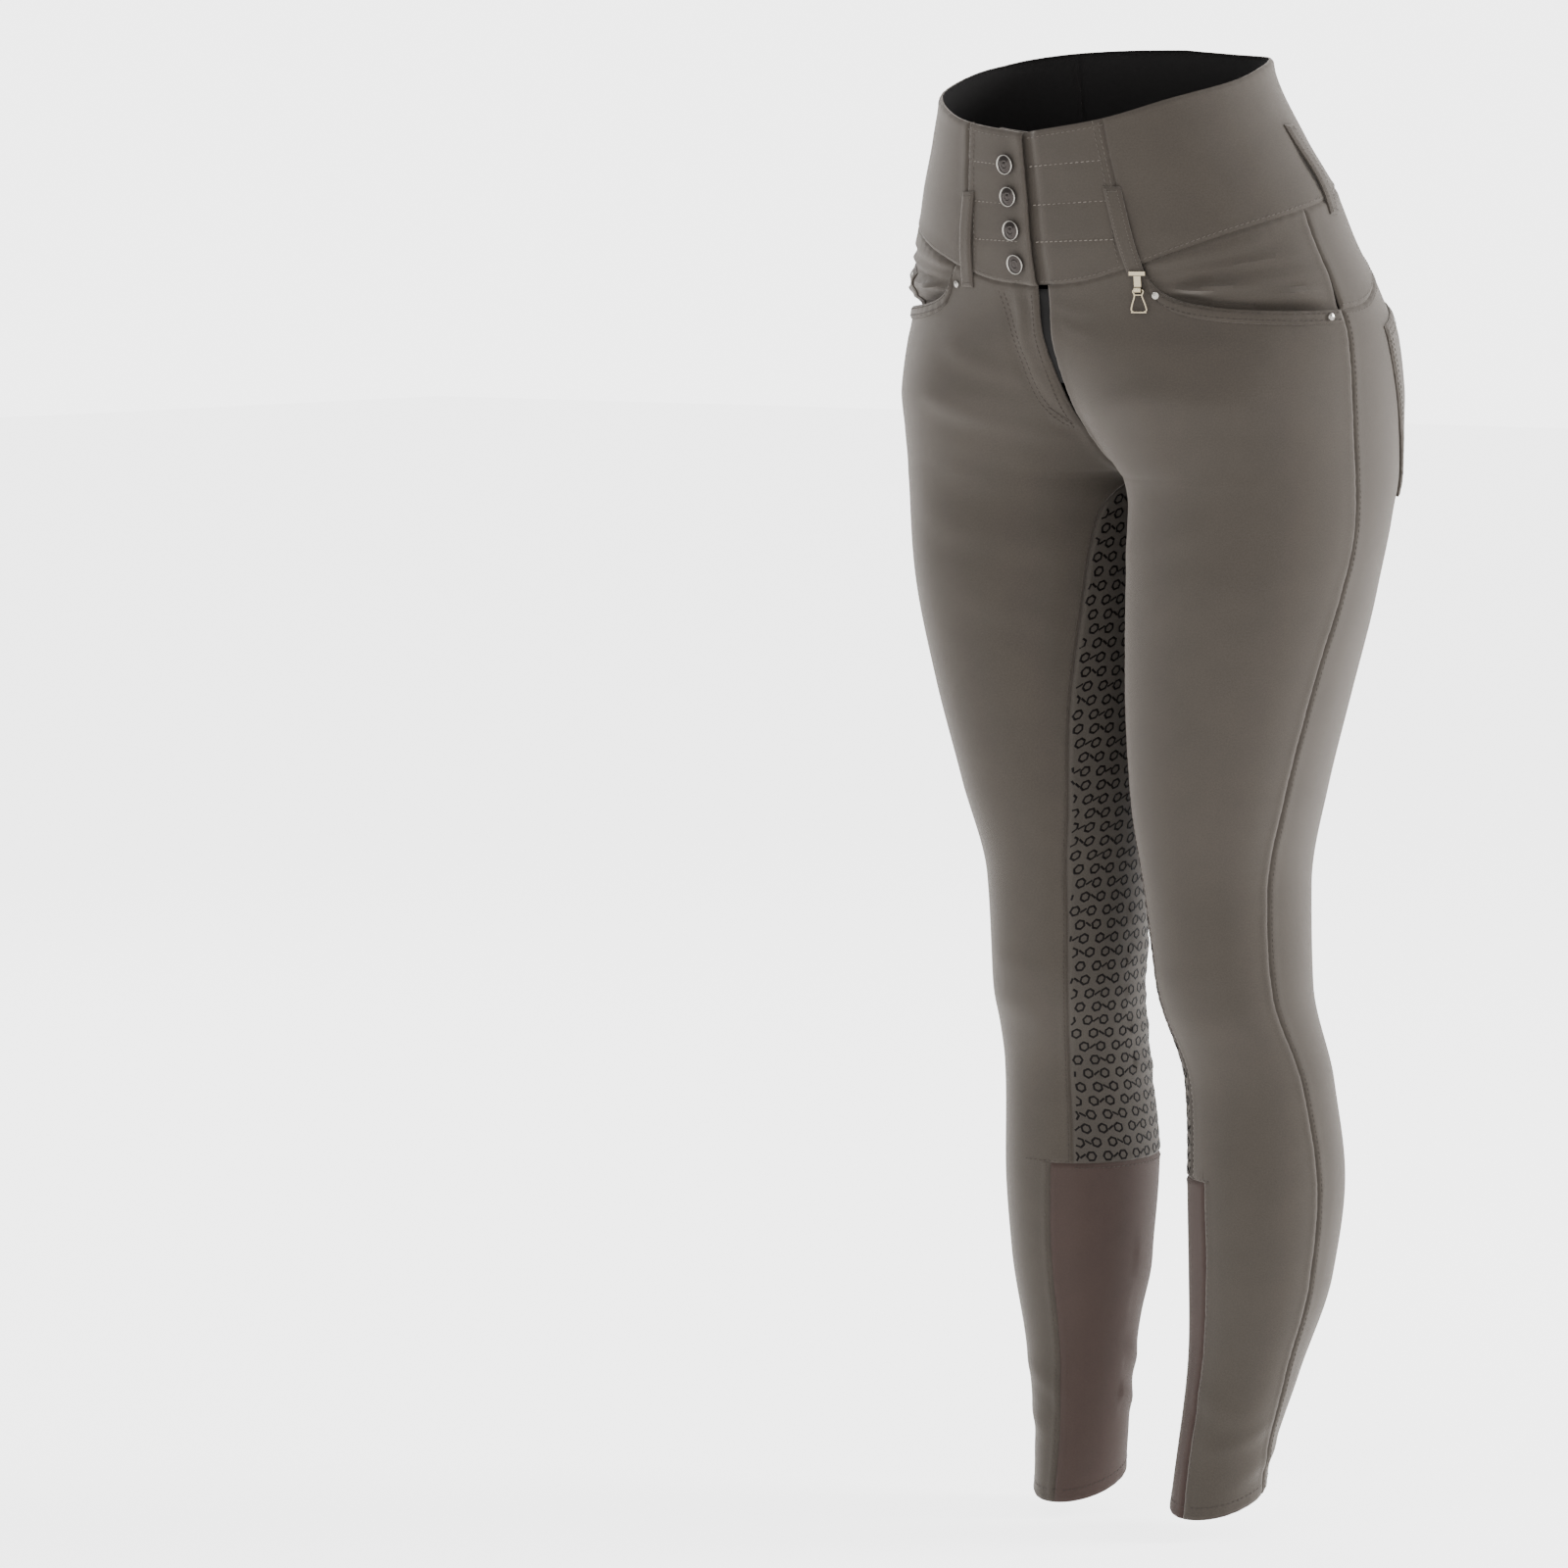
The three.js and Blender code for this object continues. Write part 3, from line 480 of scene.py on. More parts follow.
def cloth_material(name, colour, light, weave=0.5, weave_scale=(12, 12), rough=0.82, sheen=0.35, bump=0.25):
    """Woven stretch cloth: a fine twill, heathered yarn and soft wear. UVs are in cm."""
    mat, nodes, links, shader = new_material(name)
    uv = add_node(nodes, "ShaderNodeUVMap", uv_map="cloth")
    twill = add_node(nodes, "ShaderNodeMapping")
    twill.inputs["Scale"].default_value = (weave_scale[0], weave_scale[1], 1)
    twill.inputs["Rotation"].default_value = (0, 0, math.radians(32))
    links.new(uv.outputs["UV"], twill.inputs["Vector"])
    bands = add_node(nodes, "ShaderNodeTexWave", wave_type="BANDS", bands_direction="X", Scale=0.5, Distortion=1.2)
    bands.inputs["Detail"].default_value = 1.0
    bands.inputs["Detail Scale"].default_value = 2.0
    links.new(twill.outputs["Vector"], bands.inputs["Vector"])
    yarn = add_node(nodes, "ShaderNodeTexNoise", Scale=9.0, Detail=3.0, Roughness=0.7)
    links.new(uv.outputs["UV"], yarn.inputs["Vector"])
    patch = add_node(nodes, "ShaderNodeTexNoise", Scale=0.35, Detail=2.0)
    links.new(uv.outputs["UV"], patch.inputs["Vector"])
    mix = add_node(nodes, "ShaderNodeMixRGB", blend_type="MIX")
    mix.inputs["Color1"].default_value = (*colour, 1)
    mix.inputs["Color2"].default_value = (*light, 1)
    ramp = add_node(nodes, "ShaderNodeValToRGB")
    ramp.color_ramp.elements[0].position = 0.35
    ramp.color_ramp.elements[1].position = 0.68
    links.new(yarn.outputs["Fac"], ramp.inputs["Fac"])
    links.new(ramp.outputs["Color"], mix.inputs["Fac"])
    tint = add_node(nodes, "ShaderNodeMixRGB", blend_type="MULTIPLY", Fac=0.35)
    shade = add_node(nodes, "ShaderNodeValToRGB")
    shade.color_ramp.elements[0].position = 0.3
    shade.color_ramp.elements[0].color = (0.72, 0.72, 0.73, 1)
    shade.color_ramp.elements[1].position = 0.7
    links.new(patch.outputs["Fac"], shade.inputs["Fac"])
    links.new(mix.outputs["Color"], tint.inputs["Color1"])
    links.new(shade.outputs["Color"], tint.inputs["Color2"])
    twill_tint = add_node(nodes, "ShaderNodeMixRGB", blend_type="MULTIPLY", Fac=weave)
    twill_shade = add_node(nodes, "ShaderNodeValToRGB")
    twill_shade.color_ramp.elements[0].color = (0.6, 0.6, 0.6, 1)
    links.new(bands.outputs["Fac"], twill_shade.inputs["Fac"])
    links.new(tint.outputs["Color"], twill_tint.inputs["Color1"])
    links.new(twill_shade.outputs["Color"], twill_tint.inputs["Color2"])
    links.new(twill_tint.outputs["Color"], shader.inputs["Base Color"])
    height = add_node(nodes, "ShaderNodeMath", operation="ADD")
    links.new(bands.outputs["Fac"], height.inputs[0])
    links.new(yarn.outputs["Fac"], height.inputs[1])
    relief_node = add_node(nodes, "ShaderNodeBump", Strength=bump, Distance=0.0003)
    links.new(height.outputs["Value"], relief_node.inputs["Height"])
    links.new(relief_node.outputs["Normal"], shader.inputs["Normal"])
    shader.inputs["Roughness"].default_value = rough
    shader.inputs["Sheen Weight"].default_value = sheen
    shader.inputs["Sheen Roughness"].default_value = 0.45
    shader.inputs["Sheen Tint"].default_value = (0.92, 0.84, 0.77, 1)
    shader.inputs["Specular IOR Level"].default_value = 0.25
    return mat


def plain_material(name, colour, rough, metal=0.0, scale=400.0, vary=0.25, bump=0.1, distance=0.0002,
                   specular=0.5):
    """A smooth material with fine variation in colour and gloss."""
    mat, nodes, links, shader = new_material(name)
    place_node = add_node(nodes, "ShaderNodeTexCoord")
    grain = add_node(nodes, "ShaderNodeTexNoise", Scale=scale, Detail=4.0, Roughness=0.6)
    links.new(place_node.outputs["Object"], grain.inputs["Vector"])
    mix = add_node(nodes, "ShaderNodeMixRGB", blend_type="MIX")
    mix.inputs["Color1"].default_value = (*[v * (1 - vary) for v in colour], 1)
    mix.inputs["Color2"].default_value = (*[min(v * (1 + vary), 1) for v in colour], 1)
    links.new(grain.outputs["Fac"], mix.inputs["Fac"])
    links.new(mix.outputs["Color"], shader.inputs["Base Color"])
    gloss = add_node(nodes, "ShaderNodeMapRange")
    gloss.inputs["To Min"].default_value = max(rough - 0.08, 0.02)
    gloss.inputs["To Max"].default_value = min(rough + 0.1, 1)
    links.new(grain.outputs["Fac"], gloss.inputs["Value"])
    links.new(gloss.outputs["Result"], shader.inputs["Roughness"])
    dent = add_node(nodes, "ShaderNodeBump", Strength=bump, Distance=distance)
    links.new(grain.outputs["Fac"], dent.inputs["Height"])
    links.new(dent.outputs["Normal"], shader.inputs["Normal"])
    shader.inputs["Metallic"].default_value = metal
    shader.inputs["Specular IOR Level"].default_value = specular
    return mat


TWILL = cloth_material("taupe_twill", (0.0214, 0.0167, 0.0123), (0.0290, 0.0229, 0.0174), sheen=0.18)
GRIP = cloth_material("grip_cloth", (0.0232, 0.0189, 0.0148), (0.0298, 0.0247, 0.0200), sheen=0.13)
CALF = cloth_material("calf_cloth", (0.0205, 0.0112, 0.0087), (0.0250, 0.0145, 0.0114), weave=0.3,
                      weave_scale=(22, 8), sheen=0.07)
# Inside faces of the panels: painted shade, near black, standing for the shade inside the garment
PAINTED_INSIDE_SHADE = cloth_material("inside_painted_shade", (0.0035, 0.003, 0.003), (0.005, 0.0042, 0.004), sheen=0.0, rough=0.95)
# Fly shield: painted shade, near black, standing for the shade in the gap under the flap
SHADOW = cloth_material("fly_cloth", (0.0022, 0.0018, 0.0017), (0.0034, 0.003, 0.0028), sheen=0.0, rough=0.95)
PALE_THREAD = plain_material("pale_thread", (0.085, 0.073, 0.061), 0.6, scale=900.0)
THREAD = plain_material("thread", (0.041, 0.034, 0.0275), 0.6, scale=900.0, specular=0.3)
DARK_THREAD = plain_material("dark_thread", (0.022, 0.0175, 0.0140), 0.7, scale=900.0, specular=0.2)
PRINT = plain_material("grip_print", (0.0016, 0.0011, 0.0009), 0.5, scale=300.0, specular=0.06)
LEATHER = plain_material("leather", (0.046, 0.0105, 0.0020), 0.55, scale=700.0, vary=0.3, bump=0.35, specular=0.08)
SILVER = plain_material("satin_silver", (0.22, 0.208, 0.19), 0.22, metal=1.0, vary=0.1)
DARK_METAL = plain_material("dark_metal", (0.03, 0.026, 0.024), 0.14, metal=1.0, vary=0.15)
BRASS = plain_material("pale_brass", (0.26, 0.22, 0.155), 0.25, metal=1.0, vary=0.1)

# Folds of the worn cloth, placed one by one
F = fold
# Front of the hips and the crotch
F("panels", -1, (-0.97, -205), (-0.62, -178), 7, 0.9, 3)
F("panels", -1, (-0.95, -240), (-0.55, -214), 8, 1.0, 4)
F("panels", 1, (-0.93, -232), (-0.56, -206), 8, 0.9, -4)
F("panels", -1, (-0.9, -278), (-0.5, -262), 9, 1.0, 4)
F("panels", 1, (-0.9, -280), (-0.52, -258), 9, 1.0, -4)
F("panels", 0, (-0.82, -318), (-0.38, -296), 10, 0.8, 3)
F("panels", 0, (-0.78, -372), (-0.5, -352), 9, 0.5, -2)
# Backs of the knees, and small ones in front of them
F("panels", 0, (0.52, -598), (0.98, -584), 7, 1.3, 4)
F("panels", 0, (0.45, -622), (0.9, -612), 6, 1.1, -3)
F("panels", 0, (0.7, -575), (1.15, -562), 7, 0.9, 3)
F("panels", 0, (-0.72, -604), (-0.3, -596), 9, 0.6, 3)
F("panels", 0, (-0.6, -640), (-0.2, -628), 10, 0.5, -3)
# Calves and ankles
F("panels", 0, (0.62, -842), (1.25, -800), 12, 0.9, -6)
F("panels", 0, (0.6, -890), (0.98, -868), 6, 1.1, 3)
F("panels", 0, (0.72, -915), (1.18, -900), 5, 1.2, -3)
F("panels", 0, (-0.45, -925), (-0.02, -905), 6, 0.8, 3)
F("panels", 0, (-0.2, -945), (0.35, -925), 6, 0.9, -3)
F("panels", 1, (-0.6, -882), (-0.15, -902), 7, 0.7, 4)
F("panels", -1, (-0.62, -905), (-0.2, -884), 7, 0.7, -4)
# Seat, under the pockets and at the middle of the back
F("panels", 0, (0.9, -292), (0.55, -306), 8, 0.9, 3)
F("panels", 0, (0.86, -315), (0.5, -330), 9, 0.7, -3)
F("panels", 1, (0.98, -205), (0.83, -192), 6, 0.6, 2)
F("panels", -1, (0.98, -212), (0.84, -198), 6, 0.6, 2)
F("panels", 0, (1.0, -142), (0.7, -136), 6, 0.5, 2)
# Facing behind each front pocket: fans of soft folds, and a ridge where the opening gapes
for WHICH in (1, -1):
    F("facing", WHICH, (-0.635, -130), (-0.22, -110), 3.6, 1.9, 1)
    F("facing", WHICH, (-0.63, -137), (-0.12, -121), 3.2, 2.2, -1)
    F("facing", WHICH, (-0.6, -144), (-0.1, -133), 3.0, 2.2, 1)
    F("facing", WHICH, (-0.56, -144), (-0.12, -147.5), 2.8, 3.0, -3)
# Waistband
F("band", 1, (-0.62, -112), (-0.3, -96), 7, 0.5, 2)
F("band", 1, (-0.2, -60), (0.1, -48), 9, 0.5, -3)
F("band", 1, (-0.3, -32), (0.02, -26), 8, 0.5, 2)
F("band", -1, (-0.55, -120), (-0.3, -104), 6, 0.6, 2)
F("band", 0, (0.45, -50), (0.85, -40), 10, 0.4, -2)

for WHICH in (1, -1):
    for LEVEL in (-64, -89, -113):
        F("band", WHICH, (-1.06, LEVEL - 1), (-0.66, LEVEL + 4), 1.7, -0.9, 0, 0)
# Fly: the flap rises towards its edge, with soft folds below the buttons
F("panels", -1, (-0.985, -142), (-0.985, -228), 5, 1.5, 0)
F("panels", -1, (-0.915, -143), (-0.955, -212), 4, 1.4, 1, 1)
F("panels", -1, (-0.86, -146), (-0.925, -215), 4, -1.3, 1, 0)
F("panels", -1, (-0.99, -233), (-0.93, -228), 4, 0.8, 0)
F("panels", 1, (-0.95, -152), (-0.8, -157), 4, 0.7, 3)
F("panels", 1, (-0.93, -163), (-0.82, -172), 4, 0.5, 3)

# Back of the knee on the wearer's right leg: short cross folds
for z, rise in ((-606, 1.2), (-629, 1.0), (-654, 1.1), (-682, 1.3)):
    F("panels", -1, (0.74, z), (1.08, z + 9), 6, rise, 1)

# Panels of the legs and seat
calf_level, crotch_level = flat(CALF_Z), flat(CROTCH_Z)
fork_level = flat(-300)
STEP = float(calf_front(CALF_Z) - inner_front(CALF_Z))


def front_edge(side):
    def edge(z):
        upper = -1 + (fly_gap(z) / span(-0.9, z) if side > 0 else 0)
        return np.where(z < CROTCH_Z, inner_front(z), upper)
    return edge


def front_second(side):
    edge = front_edge(side)
    return lambda z: np.where(z < CALF_Z + 0.01, calf_front(z), edge(z) + STEP)


def front_top(t):
    return np.where(t < -0.645, band(t), pocket_line(t))


def mixed(f, g, k):
    return lambda v: f(v) + (g(v) - f(v)) * k


def back_edge(z):
    return np.where(z < CALF_Z + 0.01, calf_back(z), grip_back(z))


def arch(t):
    return np.where(t < 0.46, -240.0, arch_line(t))


def grip_front(z):
    return np.where(z > CROTCH_Z - 0.001, 1.0, 2 + inner_front(z))


def nearest(*distances):
    out = distances[0]
    for d in distances[1:]:
        out = np.minimum(out, d)
    return out


def front_edges(side):
    """Distance to the edges of a front panel, with its step at the top of the calf panel."""
    def far(t, z):
        w = span(t, z)
        low = z < CALF_Z + 0.01
        inner = np.where(low, np.abs(t - calf_front(z)), np.abs(t - front_edge(side)(z))) * w
        step = np.where((t < calf_front(CALF_Z)) & (z > CALF_Z - 0.01), np.abs(z - CALF_Z), 99)
        return nearest(inner, step, np.abs(SIDE_SEAM[side](z) - t) * w, np.abs(front_top(t) - z),
                       np.abs(z - hem(side)(t)) + 1.2)
    return far


def back_edges(side):
    """Distance to the edges of a back panel, which runs round the grip panel."""
    def far(t, z):
        w = span(t, z)
        grip = np.where(z < -238, np.abs(t - back_edge(z)) * w, 99)
        return nearest(grip, np.where(t > 0.455, np.abs(z - arch_line(t)) * 0.8, 99),
                       np.abs(t - SIDE_SEAM[side](z)) * w, np.abs(yoke_line(t) - z), np.abs(1 - t) * w
                       + np.where(z < -167, 99, 0), np.abs(z - hem(side)(t)) + 1.2)
    return far


def calf_edges(side):
    def far(t, z):
        w = span(t, z)
        return nearest(np.abs(t - calf_back(z)) * w, np.abs(2 + calf_front(z) - t) * w, np.abs(z - CALF_Z),
                       np.abs(z - hem(side)(t)) + 1.2)
    return far


def facing_drop(t, z):
    """The facing lies below the pocket opening and gapes a little above it."""
    up = z - pocket_line(t)
    middle = smooth((t + 0.6) / 0.14) * smooth((-0.08 - t) / 0.14)
    gape = 3.2 * np.exp(-((up - 9.5) / 4.0) ** 2) - 4.4 * smooth((6.5 - up) / 3.6)
    return (-2.4 + 2.4 * smooth((up - 2) / 22)) * smooth((0.02 - t) / 0.06 + 0.2) + gape * middle


# Outer faces in twill; inner faces in painted shade
BOTH = [TWILL, PAINTED_INSIDE_SHADE]
for tag, side in SIDES:
    seam, second = SIDE_SEAM[side], front_second(side)
    start = 0.29 if side > 0 else 0.275
    cloth("front_panel_" + tag + "_cloth", side,
          [front_edge(side), second, mixed(second, seam, start), mixed(second, seam, start + 0.13), seam],
          [hem(side), calf_level, fork_level, crotch_level, front_top], BOTH,
          hole=lambda u, v, bu, bv: (u < bu[1]) & (v < bv[1]), edges=front_edges(side),
          seam_cols=(0, 1, 4), seam_rows=(0, 1, 4), replaces="front_panel_" + tag)
    cloth("back_panel_" + tag + "_cloth", side, [seam, back_edge, flat(1)],
          [hem(side), calf_level, fork_level, crotch_level, arch, yoke_line], BOTH,
          hole=lambda u, v, bu, bv: (u > bu[1]) & (v < bv[4]), edges=back_edges(side),
          seam_cols=(0, 1, 2), seam_rows=(0, 4, 5), replaces="back_panel_" + tag)
    cloth("grip_panel_" + tag + "_cloth", side, [back_edge, grip_front],
          [calf_level, fork_level, crotch_level, arch], [GRIP, PAINTED_INSIDE_SHADE],
          replaces="grip_panel_" + tag)
    cloth("calf_panel_" + tag + "_cloth", side, [calf_back, flat(1), lambda z: 2 + calf_front(z)],
          [hem(side), calf_level], [CALF, PAINTED_INSIDE_SHADE], edges=calf_edges(side),
          seam_cols=(0, 2), seam_rows=(0, 1), replaces="calf_panel_" + tag)
    cloth("yoke_" + tag + "_cloth", side, [seam, flat(1)], [yoke_line, band], BOTH, replaces="yoke_" + tag)
    cloth("pocket_facing_" + tag + "_cloth", side, [flat(-0.636), flat(-0.55), seam],
          [lambda t: pocket_line(t) - 14, pocket_line, band], BOTH,
          lift=facing_drop, group="facing", cell=2.0,
          replaces="pocket_facing_" + tag)

FRONT_SPLIT = {1: -0.675, -1: -0.725}
BACK_SPLIT = {1: 0.36, -1: 0.51}
cloth("waistband_front_l_cloth", 1, [flat(-1.13), flat(-1.01), flat(-0.98), flat(FRONT_SPLIT[1])], [band, rim(1)],
      BOTH, lift=lambda t, z: -3.8 * smooth((-0.935 - t) / 0.05), group="band", cell=2.8,
      replaces="waistband_front_l")


def flap_edges(t, z):
    w = span(t, z)
    return nearest((FRONT_SPLIT[-1] - t) * w, np.abs(z - band(t)), np.abs(rim(-1)(t) - z))


def flap_rise(t, z):
    """The buttoned flap stands off at its edge, and its corners turn in."""
    far = (t + 1) * span(t, z)
    corner = np.exp(-(far / 3) ** 2) * (np.exp(-((z - band(t)) / 4) ** 2) + np.exp(-((z - rim(-1)(t)) / 4) ** 2))
    return 1.8 * np.exp(-(far / 7) ** 2) - 0.5 * np.exp(-(far / 1.0) ** 2) - 1.2 * corner


cloth("waistband_front_r_cloth", -1, [flat(-1), flat(FRONT_SPLIT[-1])], [band, rim(-1)], BOTH, group="band",
      cell=2.8, lift=flap_rise, edges=flap_edges, replaces="waistband_front_r")
for tag, side in SIDES:
    cloth("waistband_side_" + tag + "_cloth", side, [flat(FRONT_SPLIT[side]), flat(BACK_SPLIT[side])],
          [band, rim(side)], BOTH, group="band", replaces="waistband_side_" + tag)
cloth("waistband_back_cloth", 1, [flat(BACK_SPLIT[1]), flat(2 - BACK_SPLIT[-1])], [band, rim(1)], BOTH,
      group="band", replaces="waistband_back")
# The fly shield is painted as shade, near black, in the gap under the flap
cloth("fly_shield_cloth", 1, [flat(-1.08), flat(-1), flat(-0.93)], [flat(-208), flat(-144.5)],
      [SHADOW], lift=-2.7, gathers=0, replaces="fly_shield")

# Pieces that lie on the panels
OVER = 0.5


for tag, side in SIDES:
    seam = SIDE_SEAM[side]
    cloth("pocket_trim_" + tag + "_cloth", side,
          [flat(-0.628), flat(-0.54), lambda z, seam=seam: seam(z) - 0.01],
          [lambda t: pocket_line(t) - 9, lambda t: pocket_line(t) - 0.4], [TWILL], lift=OVER + 0.8,
          thick=0.9, dip=0.7, puff=0.3, cell=1.8,
          replaces="pocket_trim_" + tag)
    pocket_outer = line([(-168, 34 if side > 0 else 53), (-283, 74 if side > 0 else 96)])
    pocket_inner = line([(-134, 181), (-180, 205), (-240, 214)])
    pocket_top = line([(33, -170), (120, -147), (190, -133)])
    pocket_foot = line([(60, -283), (158, -284), (166, -282), (190, -261), (214, -240)])
    cloth("back_pocket_" + tag + "_cloth", side, [pocket_outer, pocket_inner], [pocket_foot, pocket_top],
          [TWILL], lift=lambda t, z: OVER + 1.2 + 0.6 * smooth((-225 - z) / 20),
          cell=2.8, dip=0.8, puff=0.45, in_lengths=True,
          replaces="back_pocket_" + tag)
cloth("coin_pocket_r_cloth", -1, [flat(-0.34), flat(-0.03)],
      [lambda t: pocket_line(t) + 0.8, lambda t: -117 + (t + 0.03) * 58], [TWILL],
      lift=lambda t, z: facing_drop(t, z) + OVER + 1, thick=0.9,
      group="facing", cell=2.2, dip=0.6, replaces="coin_pocket_r")
cloth("leather_patch_hide", -1, [flat(0.315), flat(0.425)],
      [lambda t: -198 + 18 * (t - 0.37), lambda t: -168 + 18 * (t - 0.37)], [LEATHER],
      lift=OVER + 1.2 + 1.6, thick=1.2, cell=1.5,
      gathers=0, dip=0.5, puff=0.1, replaces="leather_patch")

LOOPS = {
    "loop_front_l": (1, -0.69, -77, -0.655, -135),
    "loop_front_r": (-1, -0.735, -80, -0.712, -143),
    "loop_side_l": (1, 0.065, -38, 0.08, -96),
    "loop_side_r": (-1, 0.265, -35, 0.3, -93),
    "loop_back": (1, 0.975, -30, 0.965, -86),
}
LOOP_WIDTH = 12.0


def loop_rise(z, foot_z, top_z):
    return OVER + 1.2 + 1.5 * np.sin(np.pi * np.clip((z - foot_z) / (top_z - foot_z), 0, 1))


for name, (side, top_t, top_z, foot_t, foot_z) in LOOPS.items():
    def middle(z, a=foot_t, b=top_t, lo=foot_z, hi=top_z):
        return a + (b - a) * (z - lo) / (hi - lo)

    cloth(name + "_cloth", side,
          [lambda z, m=middle: m(z) - LOOP_WIDTH / 2 / span(m(z), z),
           lambda z, m=middle: m(z) + LOOP_WIDTH / 2 / span(m(z), z)],
          [flat(foot_z), flat(top_z)], [TWILL], lift=lambda t, z, lo=foot_z, hi=top_z: loop_rise(z, lo, hi),
          cell=1.6, dip=0.6, puff=0.3, gathers=0, replaces=name)

# Sewing: rows of short tonal stitches
STITCHES = {}
PILL = np.array([(x, y * r, z * r) for x, r in ((-1, 0.45), (-0.62, 1), (0.62, 1), (1, 0.45))
                 for y, z in ((1, 0), (0, 1), (-1, 0), (0, -1))])
PILL_FACES = ([[4 * k + j, 4 * k + 4 + j, 4 * k + 4 + (j + 1) % 4, 4 * k + (j + 1) % 4]
               for k in range(3) for j in range(4)] + [[0, 1, 2, 3], [15, 14, 13, 12]])


def sew(bundle, side, points, offset=0.0, lift=0.0, pitch=3.7, length=2.3, size=0.3, group="panels",
        in_lengths=False):
    """Stitches along a line through places (t, z), moved sideways by offset mm, at lift over the form."""
    way = np.array(points, float)
    if in_lengths:
        way[:, 0] /= span(0.5, way[:, 1])
    dense = np.linspace(0, len(way) - 1, 40 * len(way))
    t, z = np.interp(dense, np.arange(len(way)), way[:, 0]), np.interp(dense, np.arange(len(way)), way[:, 1])
    u = across_mm(t, z)
    du, dz = np.gradient(u), np.gradient(z)
    size_of = np.hypot(du, dz) + 1e-9
    t, z = t - dz / size_of * offset / span(t, z), z + du / size_of * offset
    lifted = lift(t, z) if callable(lift) else lift
    pts = place(side, t, z) + outward(side, t, z) * (relief(side, t, z, group) + lifted)[..., None]
    run = np.concatenate([[0], np.cumsum(np.linalg.norm(np.diff(pts, axis=0), axis=1))])
    n = int(run[-1] / pitch)
    if n < 1:
        return
    mids = (np.arange(n) + 0.5) * run[-1] / n

    def at(d):
        return np.stack([np.interp(d, run, pts[:, k]) for k in range(3)], axis=1)

    centre = at(mids)
    ahead = at(mids + 0.6) - at(mids - 0.6)
    ahead /= np.linalg.norm(ahead, axis=1, keepdims=True)
    out = outward(side, np.interp(mids, run, t), np.interp(mids, run, z))
    aside = np.cross(out, ahead)
    aside /= np.linalg.norm(aside, axis=1, keepdims=True)
    out = np.cross(ahead, aside)
    ahead = ahead + 0.1 * aside
    verts = (centre[:, None] + PILL[None, :, 0:1] * ahead[:, None] * length / 2
             + PILL[None, :, 1:2] * aside[:, None] * size + PILL[None, :, 2:3] * out[:, None] * size)
    STITCHES.setdefault(bundle, []).append(verts)


def up_line(f, low, high, steps=40):
    """Places along t = f(z)."""
    zs = np.linspace(low, high, steps)
    return np.stack([f(zs) * np.ones(steps), zs], axis=1)


def along_line(f, first, last, steps=40):
    """Places along z = f(t)."""
    ts = np.linspace(first, last, steps)
    return np.stack([ts, f(ts) * np.ones(steps)], axis=1)


